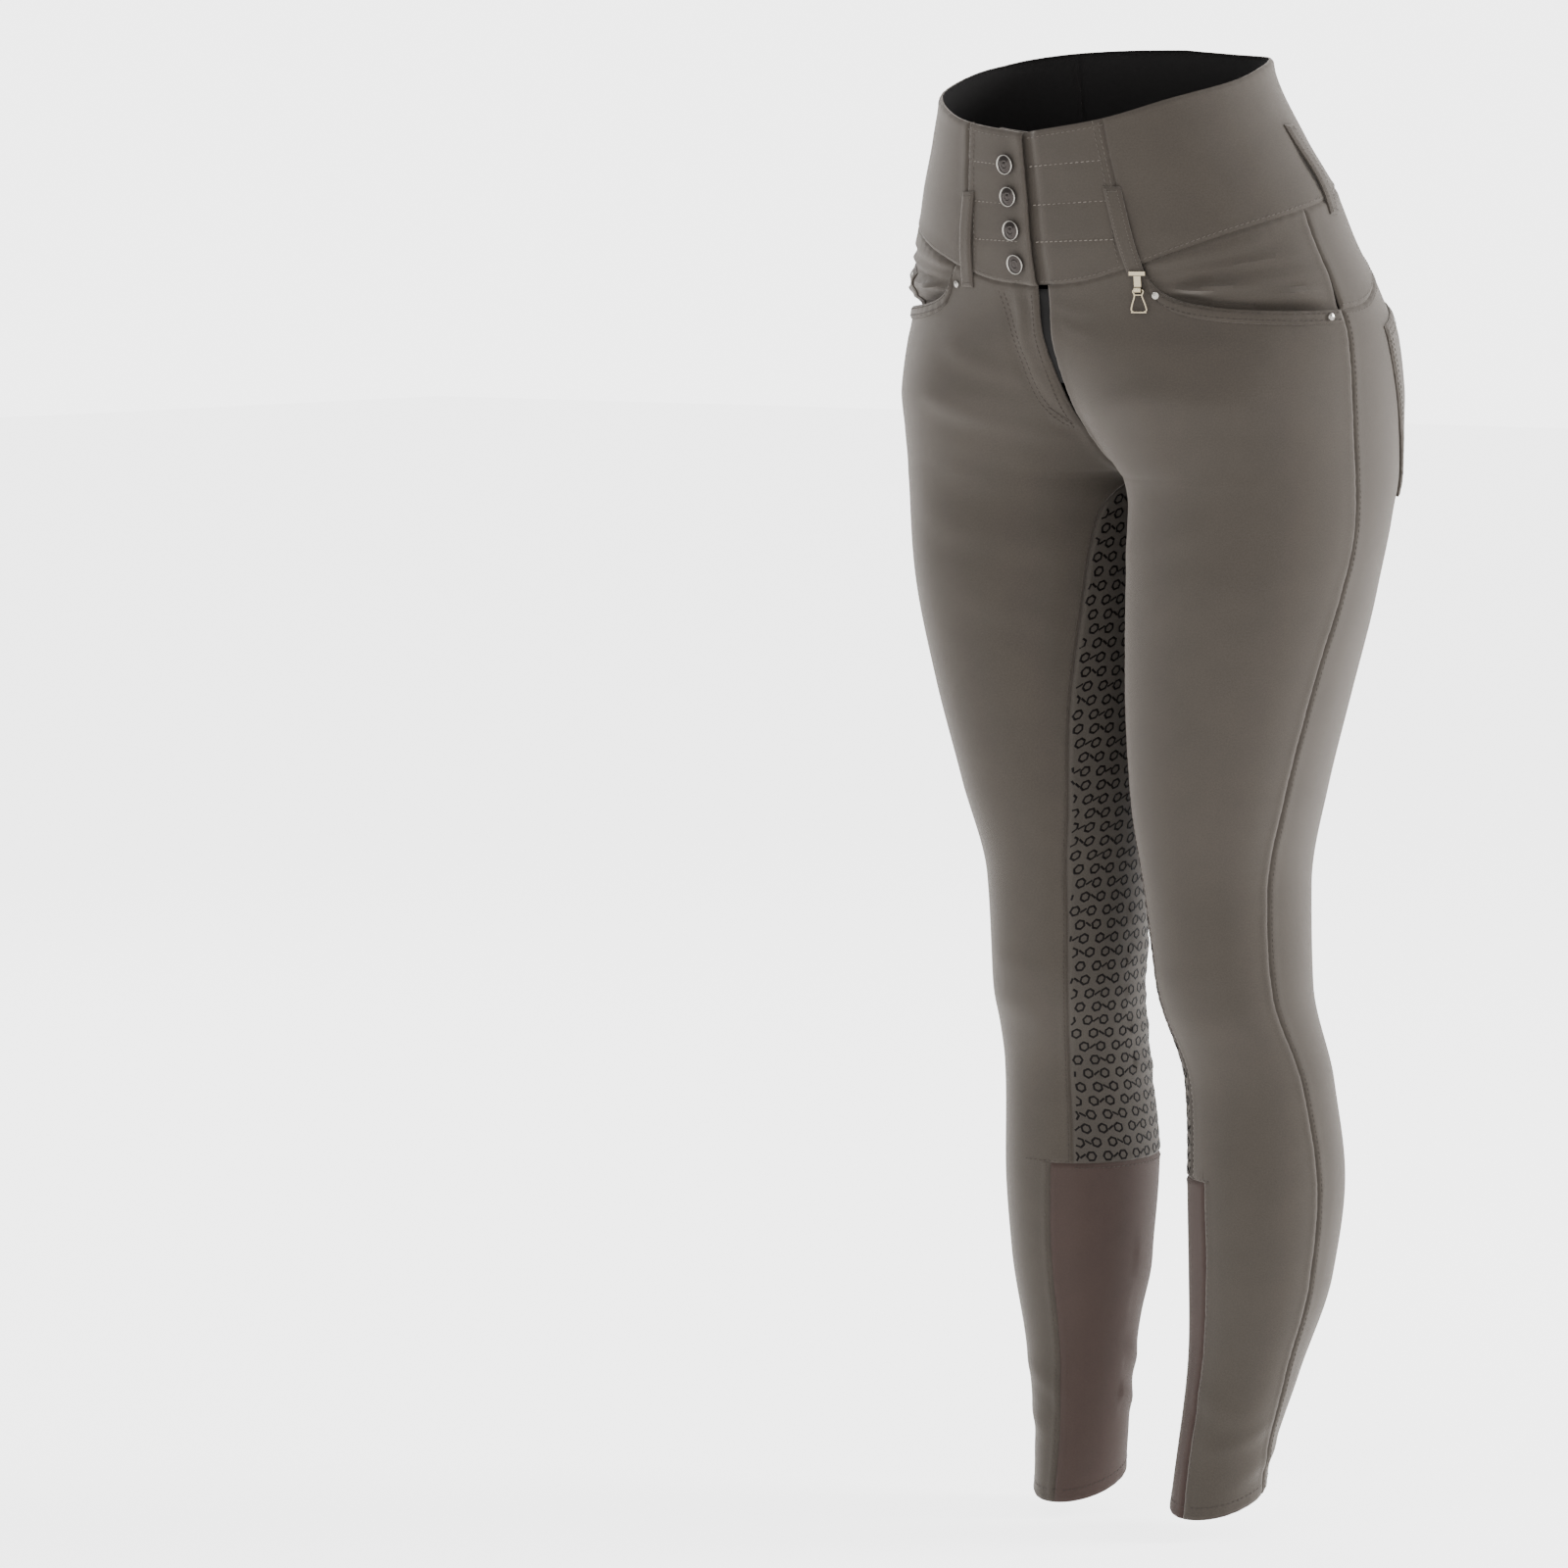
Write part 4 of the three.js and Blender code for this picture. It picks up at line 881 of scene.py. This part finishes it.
RAISED = 0.35
for tag, side in SIDES:
    seam = SIDE_SEAM[side]
    # Legs: side seam, grip seams, calf seams and hem
    sew("legs", side, up_line(seam, -955, -160), -3, RAISED)
    sew("legs", side, up_line(grip_back, CALF_Z, -285), 3, RAISED)
    sew("legs", side, up_line(grip_back, CALF_Z, -285), 6.5, RAISED)
    sew("legs", side, up_line(inner_front, CALF_Z, -284), -3, RAISED)
    sew("legs", side, up_line(calf_back, -955, CALF_Z), 3, RAISED)
    sew("legs", side, up_line(calf_front, -955, CALF_Z), -3, RAISED)
    sew("legs", side, along_line(lambda t: np.full_like(t, CALF_Z), 0.58, 2 - 0.68), -3, RAISED)
    sew("legs", side, along_line(hem(side), -1, 1, 120), 8, 0.1)
    sew("legs", side, along_line(lambda t: np.full_like(t, CALF_Z + 1.5), -0.66, -0.54 if side > 0 else -0.45),
        0, 0.05)
    # Seat: arch of the grip panel, yoke and the middle of the back
    sew("seat", side, along_line(arch_line, 0.46, 1), 3, RAISED)
    sew("seat", side, along_line(yoke_line, -0.05, 1), 3, RAISED)
    sew("seat", side, along_line(yoke_line, -0.05, 1), -3, RAISED) if side > 0 else None
    sew("seat", side, up_line(flat(1), -160, -84), 3 if side > 0 else -3, RAISED)
    # Back pocket
    for inset in (2.2, 6.2):
        lift = OVER + 1.2 + 0.45
        first, more = (34, 40) if side > 0 else (53, 43)
        sew("pockets", side, [(first + more * (z + 168) / -115, z) for z in np.linspace(-172, -281, 30)], inset,
            lift, in_lengths=True)
        sew("pockets", side, [(float(pocket_inner(z)), z) for z in np.linspace(-236, -137, 30)], inset, lift,
            in_lengths=True)
        sew("pockets", side, [(u, float(pocket_foot(u))) for u in np.linspace(78 if side > 0 else 100, 210, 40)], inset,
            lambda t, z: lift + 0.6 * smooth((-225 - z) / 20), in_lengths=True)
        sew("pockets", side, [(u, float(pocket_top(u))) for u in np.linspace(180, 40, 40)], inset + 1.5, lift,
            in_lengths=True)
    # Front pocket opening
    sew("trims", side, along_line(pocket_line, -0.615, -0.07, 60), -2.2, OVER + 0.8 + 0.3)
    sew("trims", side, along_line(pocket_line, -0.615, -0.07, 60), -6.8, OVER + 0.8 + 0.3)
    # Waistband: lower seam, vertical seams and rows
    sew("band_seam", side, along_line(band, FRONT_SPLIT[side], BACK_SPLIT[side], 60), 2.8, RAISED, group="band")
    sew("band_seam", side, along_line(band, BACK_SPLIT[side], 1, 60), 2.8, RAISED, group="band")
    for off in (-3, -7):
        sew("band_seam", side, up_line(flat(FRONT_SPLIT[side]), -128, -36), -off, RAISED, group="band")
    for off in (3, 7):
        sew("band_seam", side, up_line(flat(BACK_SPLIT[side]), -73, 5), -off, RAISED, group="band")
    for k, level in enumerate((-64, -89, -113)):
        first = -0.985 if side > 0 else -0.985
        sew("waistband", side, [(first, level), (FRONT_SPLIT[side] - 0.03, level + 4 - k)], 0, 0.05, group="band")
    sew("band_seam", side, along_line(rim(side), -0.985, FRONT_SPLIT[side], 40), -4, 0.3, group="band")
    sew("band_seam", side, along_line(band, -0.985, FRONT_SPLIT[side], 40), 2.8, RAISED, group="band")
# Fly: its edge, and the curved row beside it
sew("fly", -1, [(-0.99, -146), (-0.99, -200), (-0.985, -236)], 2.5, RAISED)
J_ROW = [(-0.845, -144), (-0.87, -158), (-0.9, -176), (-0.915, -192), (-0.918, -206), (-0.922, -217), (-0.935, -226),
         (-0.955, -233), (-0.985, -238)]
sew("fly", -1, J_ROW, 0, 0.05)
sew("fly", -1, J_ROW, -4, 0.05)
sew("fly", -1, [(-0.985, -232), (-0.94, -222)], 0, 0.1, pitch=1.3, length=1.2)

# Coin pocket, leather patch and belt loops
sew("pockets", -1, along_line(lambda t: -117 + (t + 0.03) * 58, -0.33, -0.04), -2,
    lambda t, z: facing_drop(t, z) + OVER + 1.3, group="facing")
sew("pockets", -1, along_line(lambda t: -117 + (t + 0.03) * 58, -0.33, -0.04), -6,
    lambda t, z: facing_drop(t, z) + OVER + 1.3, group="facing")
for name, (side, top_t, top_z, foot_t, foot_z) in LOOPS.items():
    for off in (-3.6, 3.6):
        sew("loops", side, [(foot_t, foot_z + 1), (top_t, top_z - 1)], off,
            lambda t, z, lo=foot_z, hi=top_z: loop_rise(z, lo, hi) + 0.25, pitch=2.4, length=1.6, size=0.25)
    for far_z, t0 in ((foot_z + 3, foot_t), (top_z - 3, top_t)):
        half = 4 / float(span(t0, far_z))
        sew("loops", side, [(t0 - half, far_z), (t0 + half, far_z)], 0,
            lambda t, z, lo=foot_z, hi=top_z: loop_rise(z, lo, hi) + 0.3, pitch=1.1, length=1.0, size=0.3)

BUNDLE_THREAD = {"legs": DARK_THREAD, "fly": DARK_THREAD, "trims": DARK_THREAD, "waistband": PALE_THREAD}
for bundle, parts in STITCHES.items():
    verts = np.concatenate(parts).reshape(-1, 3)
    count = len(verts) // 16
    faces = (np.array(PILL_FACES)[None] + 16 * np.arange(count)[:, None, None]).reshape(-1, 4)
    stitches = make_mesh("stitches_" + bundle, verts, faces, None,
                         [BUNDLE_THREAD.get(bundle, THREAD)], None, sharp=80)
    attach(stitches, "garment")

# Print on the grip panels: staggered small open hexagons with loose dashes between them
PRINT_WIDE, PRINT_TALL = 0.8, 0.24


def grip_t(u, z):
    back, front = span(0.5, z), span(-0.5, z)
    return np.where(u <= back, u / back, 1 + (u - back) / front)


def print_strokes(side):
    """Strokes of the print as pairs of end points (u, z), in mm on the flat cloth."""
    strokes = []
    across, up = 11.8, 9.6
    row = 0
    z = CALF_Z + 5
    while z < -168:
        shift = across / 2 if row % 2 else 0
        for k in range(3, 34):
            u = k * across + shift + 0.8 * math.sin(row * 1.7)
            turn = 0.5 * math.sin(row * 0.9)
            for i in range(6):
                a0, a1 = math.pi / 3 * i + turn, math.pi / 3 * (i + 1) + turn
                strokes.append((u + 3.2 * math.cos(a0), z + 3.2 * math.sin(a0),
                                u + 3.2 * math.cos(a1), z + 3.2 * math.sin(a1)))
            if (k + row) % 2 == 0:
                slant = 0.6 if row % 2 else -0.6
                cu, cz = u + across / 2, z + 0.2
                strokes.append((cu - 2.1 * math.cos(slant), cz - 2.1 * math.sin(slant),
                                cu + 2.1 * math.cos(slant), cz + 2.1 * math.sin(slant)))
        z += up
        row += 1
    return np.array(strokes)


for tag, side in SIDES:
    lines_uz = print_strokes(side)
    a, b = lines_uz[:, :2], lines_uz[:, 2:]
    along = (b - a) / np.linalg.norm(b - a, axis=1, keepdims=True)
    a, b = a - along * 0.22, b + along * 0.22
    aside = np.stack([-along[:, 1], along[:, 0]], axis=1) * PRINT_WIDE
    keep = np.ones(len(a), bool)
    for end in (a, b):
        t_end = grip_t(end[:, 0], end[:, 1])
        w = span(t_end, end[:, 1])
        keep &= (t_end - back_edge(end[:, 1])) * w > 1.4
        keep &= (grip_front(end[:, 1]) - t_end) * w > 1.4
        keep &= (arch(np.minimum(t_end, 1)) - end[:, 1] > 1.6) & (end[:, 1] > CALF_Z + 1.6)
    a, b, aside = a[keep], b[keep], aside[keep]
    rings = []
    for end in (a, b):
        for shift, rise in ((1.0, -0.12), (0.55, PRINT_TALL), (-0.55, PRINT_TALL), (-1.0, -0.12)):
            p = end + aside * shift
            t_p = grip_t(p[:, 0], p[:, 1])
            w = span(t_p, p[:, 1])
            far = np.minimum((t_p - back_edge(p[:, 1])) * w, (grip_front(p[:, 1]) - t_p) * w)
            far = np.minimum(far, np.minimum(arch(np.minimum(t_p, 1)) - p[:, 1], p[:, 1] - CALF_Z))
            h = relief(side, t_p, p[:, 1]) + seam_profile(far) + pucker(p[:, 0], p[:, 1], far) + rise
            rings.append(place(side, t_p, p[:, 1]) + outward(side, t_p, p[:, 1]) * h[:, None])
    verts = np.stack(rings, axis=1).reshape(-1, 3)
    stroke = np.array([[0, 1, 5, 4], [1, 2, 6, 5], [2, 3, 7, 6], [0, 3, 2, 1], [4, 5, 6, 7], [0, 4, 7, 3]])
    if side > 0:
        stroke = stroke[:, ::-1]
    faces = (stroke[None] + 8 * np.arange(len(a))[:, None, None]).reshape(-1, 4)
    print_obj = make_mesh("grip_print_" + tag, verts, faces, None, [PRINT], None, sharp=60)
    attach(print_obj, "garment")

# Metal fittings, turned smoothly on axes square to the cloth

def turned(name, side, t, z, base, profile, material, replaces, sides=48, split=None, second=None):
    """A lathe body square to the cloth; past index split of its profile it takes the second material."""
    n = outward(side, t, z)
    at = place(side, t, z) + n * base
    x_dir = np.cross(n, (0, 0, 1))
    x_dir /= np.linalg.norm(x_dir)
    y_dir = np.cross(n, x_dir)
    angle = np.linspace(0, 2 * math.pi, sides, endpoint=False)
    ring = np.cos(angle)[:, None] * x_dir + np.sin(angle)[:, None] * y_dir
    verts = np.concatenate([at + ring * r + n * h for r, h in profile])
    quads = [[k * sides + j, k * sides + (j + 1) % sides, (k + 1) * sides + (j + 1) % sides, (k + 1) * sides + j]
             for k in range(len(profile) - 1) for j in range(sides)]
    kind = [1 if split and k >= split else 0 for k in range(len(profile) - 1) for j in range(sides)]
    obj = make_mesh(name, verts, quads, None, [material] + ([second] if second else []), kind, sharp=40)
    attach(obj, "garment")
    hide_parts(replaces)
    return obj


RIM_BUTTON = [(0.02, 0), (5.4, 0), (6.6, 0.7), (6.85, 1.3), (6.8, 2.0), (6.5, 2.45), (6.2, 2.5), (5.95, 2.3),
              (5.8, 1.8), (5.6, 1.65), (3.6, 2.0), (3.3, 2.4), (2.8, 2.55), (2.3, 2.4), (2.0, 2.1), (1.2, 2.25),
              (0.02, 2.4)]
for k, z in enumerate((-62, -83, -105, -127)):
    turned("button_%d_metal" % (k + 1), -1, -0.925 - 0.004 * k, z, 0.45 + 0.5, RIM_BUTTON, SILVER,
           "button_%d" % (k + 1), split=8, second=DARK_METAL)
RIVET = [(0.02, 0), (2.3, 0), (2.5, 0.35), (2.35, 0.75), (1.9, 1.0), (1.3, 0.95), (1.0, 1.15), (0.5, 1.3), (0.02, 1.35)]
for name, side, t, z, base in (("pocket_front_l", 1, -0.608, -147, 2.0), ("pocket_side_l", 1, -0.11, -162, 2.0),
                               ("pocket_front_r", -1, -0.655, -141, 0.5), ("pocket_side_r", -1, -0.005, -162, 2.0),
                               ("coin_front", -1, -0.31, -137, 1.7), ("coin_back", -1, -0.06, -123, 2.15)):
    turned("rivet_%s_metal" % name, side, t, z, base, RIVET, SILVER, "rivet_" + name, sides=32)
CHARM_AT = place(1.0, -0.656, -143.0)
CHARM_OUT = outward(1.0, -0.656, -143.0)
CHARM_AT = CHARM_AT + CHARM_OUT * 3.15
CHARM_ACROSS = np.array([-CHARM_OUT[1], CHARM_OUT[0], 0]) / math.hypot(CHARM_OUT[0], CHARM_OUT[1])
CHARM_RISE = np.cross(CHARM_OUT, CHARM_ACROSS)
CHARM_SIDE = np.cross(CHARM_OUT, CHARM_RISE)


def rounded(points, closed=True, rounds=3):
    """Corner cutting, which turns a polygon into a smooth path."""
    pts = np.array(points, float)
    for _ in range(rounds):
        nxt = np.roll(pts, -1, axis=0)
        both = np.stack([0.75 * pts + 0.25 * nxt, 0.25 * pts + 0.75 * nxt], axis=1).reshape(-1, pts.shape[1])
        pts = both if closed else np.concatenate([pts[:1], both[:-2], pts[-1:]])
    return pts


def wire(points, radius, closed=True, sides=10, squash=1.0):
    """Vertices and faces of a round wire in the charm's own plane."""
    pts = np.array(points, float)
    if closed:
        ahead = np.roll(pts, -1, axis=0) - np.roll(pts, 1, axis=0)
    else:
        ahead = np.gradient(pts, axis=0)
    ahead /= np.linalg.norm(ahead, axis=1, keepdims=True)
    aside = np.stack([-ahead[:, 1], ahead[:, 0]], axis=1)
    angle = np.linspace(0, 2 * math.pi, sides, endpoint=False)
    flat_part = pts[:, None] + aside[:, None] * np.cos(angle)[None, :, None] * radius
    depth = np.broadcast_to(np.sin(angle) * radius * squash, flat_part.shape[:2])
    verts = (CHARM_AT + flat_part[..., :1] * CHARM_SIDE + flat_part[..., 1:] * CHARM_RISE
             + depth[..., None] * CHARM_OUT).reshape(-1, 3)
    n = len(pts)
    faces = [[i * sides + j, i * sides + (j + 1) % sides, ((i + 1) % n) * sides + (j + 1) % sides,
              ((i + 1) % n) * sides + j] for i in range(n if closed else n - 1) for j in range(sides)]
    return verts, faces


def joined(name, parts, material, body, replaces):
    verts, faces, base = [], [], 0
    for v, f in parts:
        verts.append(v)
        faces += [[i + base for i in face] for face in f]
        base += len(v)
    obj = make_mesh(name, np.concatenate(verts), faces, None, [material], None, sharp=60)
    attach(obj, body)
    if replaces:
        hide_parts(replaces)
    return obj


IRON = [(-3.3, 0.1), (3.3, 0.1), (3.5, -1.6), (2.3, -3.4), (3.3, -6.5), (4.8, -10.5), (5.5, -14.9), (-5.5, -14.9),
        (-4.8, -10.5), (-3.3, -6.5), (-2.3, -3.4), (-3.5, -1.6)]
TREAD = [(-5.3, -14.7), (-3, -14.8), (0, -14.8), (3, -14.8), (5.3, -14.7)]
joined("stirrup_charm_metal", [wire(rounded(IRON), 0.62), wire(TREAD, 0.75, closed=False),
                               wire([(-2.3, -3.4), (0, -3.4), (2.3, -3.4)], 0.55, closed=False)],
       BRASS, "charm", "charm_stirrup")
for name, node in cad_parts.items():
    if name in ("charm_clip", "charm_bar"):
        node.data.materials.clear()
        node.data.materials.append(BRASS)

# Floor, light and camera
FLOOR_Z = -0.985
floor_mesh = bpy.data.meshes.new("floor")
floor_mesh.from_pydata([(-14, -14, FLOOR_Z), (14, -14, FLOOR_Z), (14, 14, FLOOR_Z), (-14, 14, FLOOR_Z)], [],
                       [(0, 1, 2, 3)])
floor = bpy.data.objects.new("floor", floor_mesh)
bpy.context.scene.collection.objects.link(floor)


floor_mat, f_nodes, f_links, f_shader = new_material("pale_floor")
f_coord = add_node(f_nodes, "ShaderNodeTexCoord")
f_grain = add_node(f_nodes, "ShaderNodeTexNoise", Scale=3.0)
f_links.new(f_coord.outputs["Object"], f_grain.inputs["Vector"])
f_tone = add_node(f_nodes, "ShaderNodeMapRange")
f_tone.inputs["To Min"].default_value, f_tone.inputs["To Max"].default_value = 0.48, 0.5
f_links.new(f_grain.outputs["Fac"], f_tone.inputs["Value"])
f_links.new(f_tone.outputs["Result"], f_shader.inputs["Base Color"])
f_shader.inputs["Roughness"].default_value = 0.9
f_shader.inputs["Specular IOR Level"].default_value = 0.1
f_shader.inputs["Emission Color"].default_value = (1, 1, 1, 1)
f_shader.inputs["Emission Strength"].default_value = 3.1
floor_mesh.materials.append(floor_mat)

world = bpy.data.worlds.new("studio")
bpy.context.scene.world = world
world.use_nodes = True
w_nodes, w_links = world.node_tree.nodes, world.node_tree.links
w_coord = add_node(w_nodes, "ShaderNodeTexCoord")
w_back = w_nodes["Background"]
w_back.inputs["Color"].default_value = (1, 1, 1, 1)
# Two bright screens, one past the garment and one at the front light side; the rest of the studio is dimmer
w_dot = add_node(w_nodes, "ShaderNodeVectorMath", operation="DOT_PRODUCT")
w_links.new(w_coord.outputs["Generated"], w_dot.inputs[0])
w_dot.inputs[1].default_value = (-0.62, 0.78, 0)
w_size = add_node(w_nodes, "ShaderNodeMath", operation="ABSOLUTE")
w_links.new(w_dot.outputs["Value"], w_size.inputs[0])
w_spread = add_node(w_nodes, "ShaderNodeMapRange")
for key, value in (("From Min", 0.72), ("From Max", 0.96), ("To Min", 1.3), ("To Max", 4.3)):
    w_spread.inputs[key].default_value = value
w_spread.interpolation_type = "SMOOTHSTEP"
w_links.new(w_size.outputs["Value"], w_spread.inputs["Value"])
w_links.new(w_spread.outputs["Result"], w_back.inputs["Strength"])


def area_light(name, where, towards, size, power):
    data = bpy.data.lights.new(name, "AREA")
    data.shape, data.size, data.energy = "DISK", size, power
    lamp = bpy.data.objects.new(name, data)
    lamp.location = where
    lamp.rotation_mode = "QUATERNION"
    lamp.rotation_quaternion = (Vector(towards) - Vector(where)).to_track_quat("-Z", "Y")
    bpy.context.scene.collection.objects.link(lamp)


MIDDLE = (0, 0.03, -0.4)
area_light("key", (-0.9, -3.5, 1.5), MIDDLE, 1.3, 40)
area_light("fill", (3.4, -1.0, 0.8), MIDDLE, 1.5, 12)
area_light("back_left", (-2.9, 1.2, 0.9), MIDDLE, 1.3, 40)
area_light("back_right", (2.4, 2.2, 0.9), MIDDLE, 1.3, 260)

camera_data = bpy.data.cameras.new("camera")
camera = bpy.data.objects.new("camera", camera_data)
bpy.context.scene.collection.objects.link(camera)
bpy.context.scene.camera = camera
camera_data.sensor_width = 36
camera_data.lens = 136.07
camera.location = (2.3941, -3.1470, -0.0589)
CAMERA_AIM = Vector((-0.64467, 0.75727, -0.10462))
CAMERA_ROLL = math.radians(-0.356)
camera.rotation_mode = "QUATERNION"
camera.rotation_quaternion = (CAMERA_AIM.to_track_quat("-Z", "Y").to_matrix()
                              @ Matrix.Rotation(CAMERA_ROLL, 3, "Z")).to_quaternion()
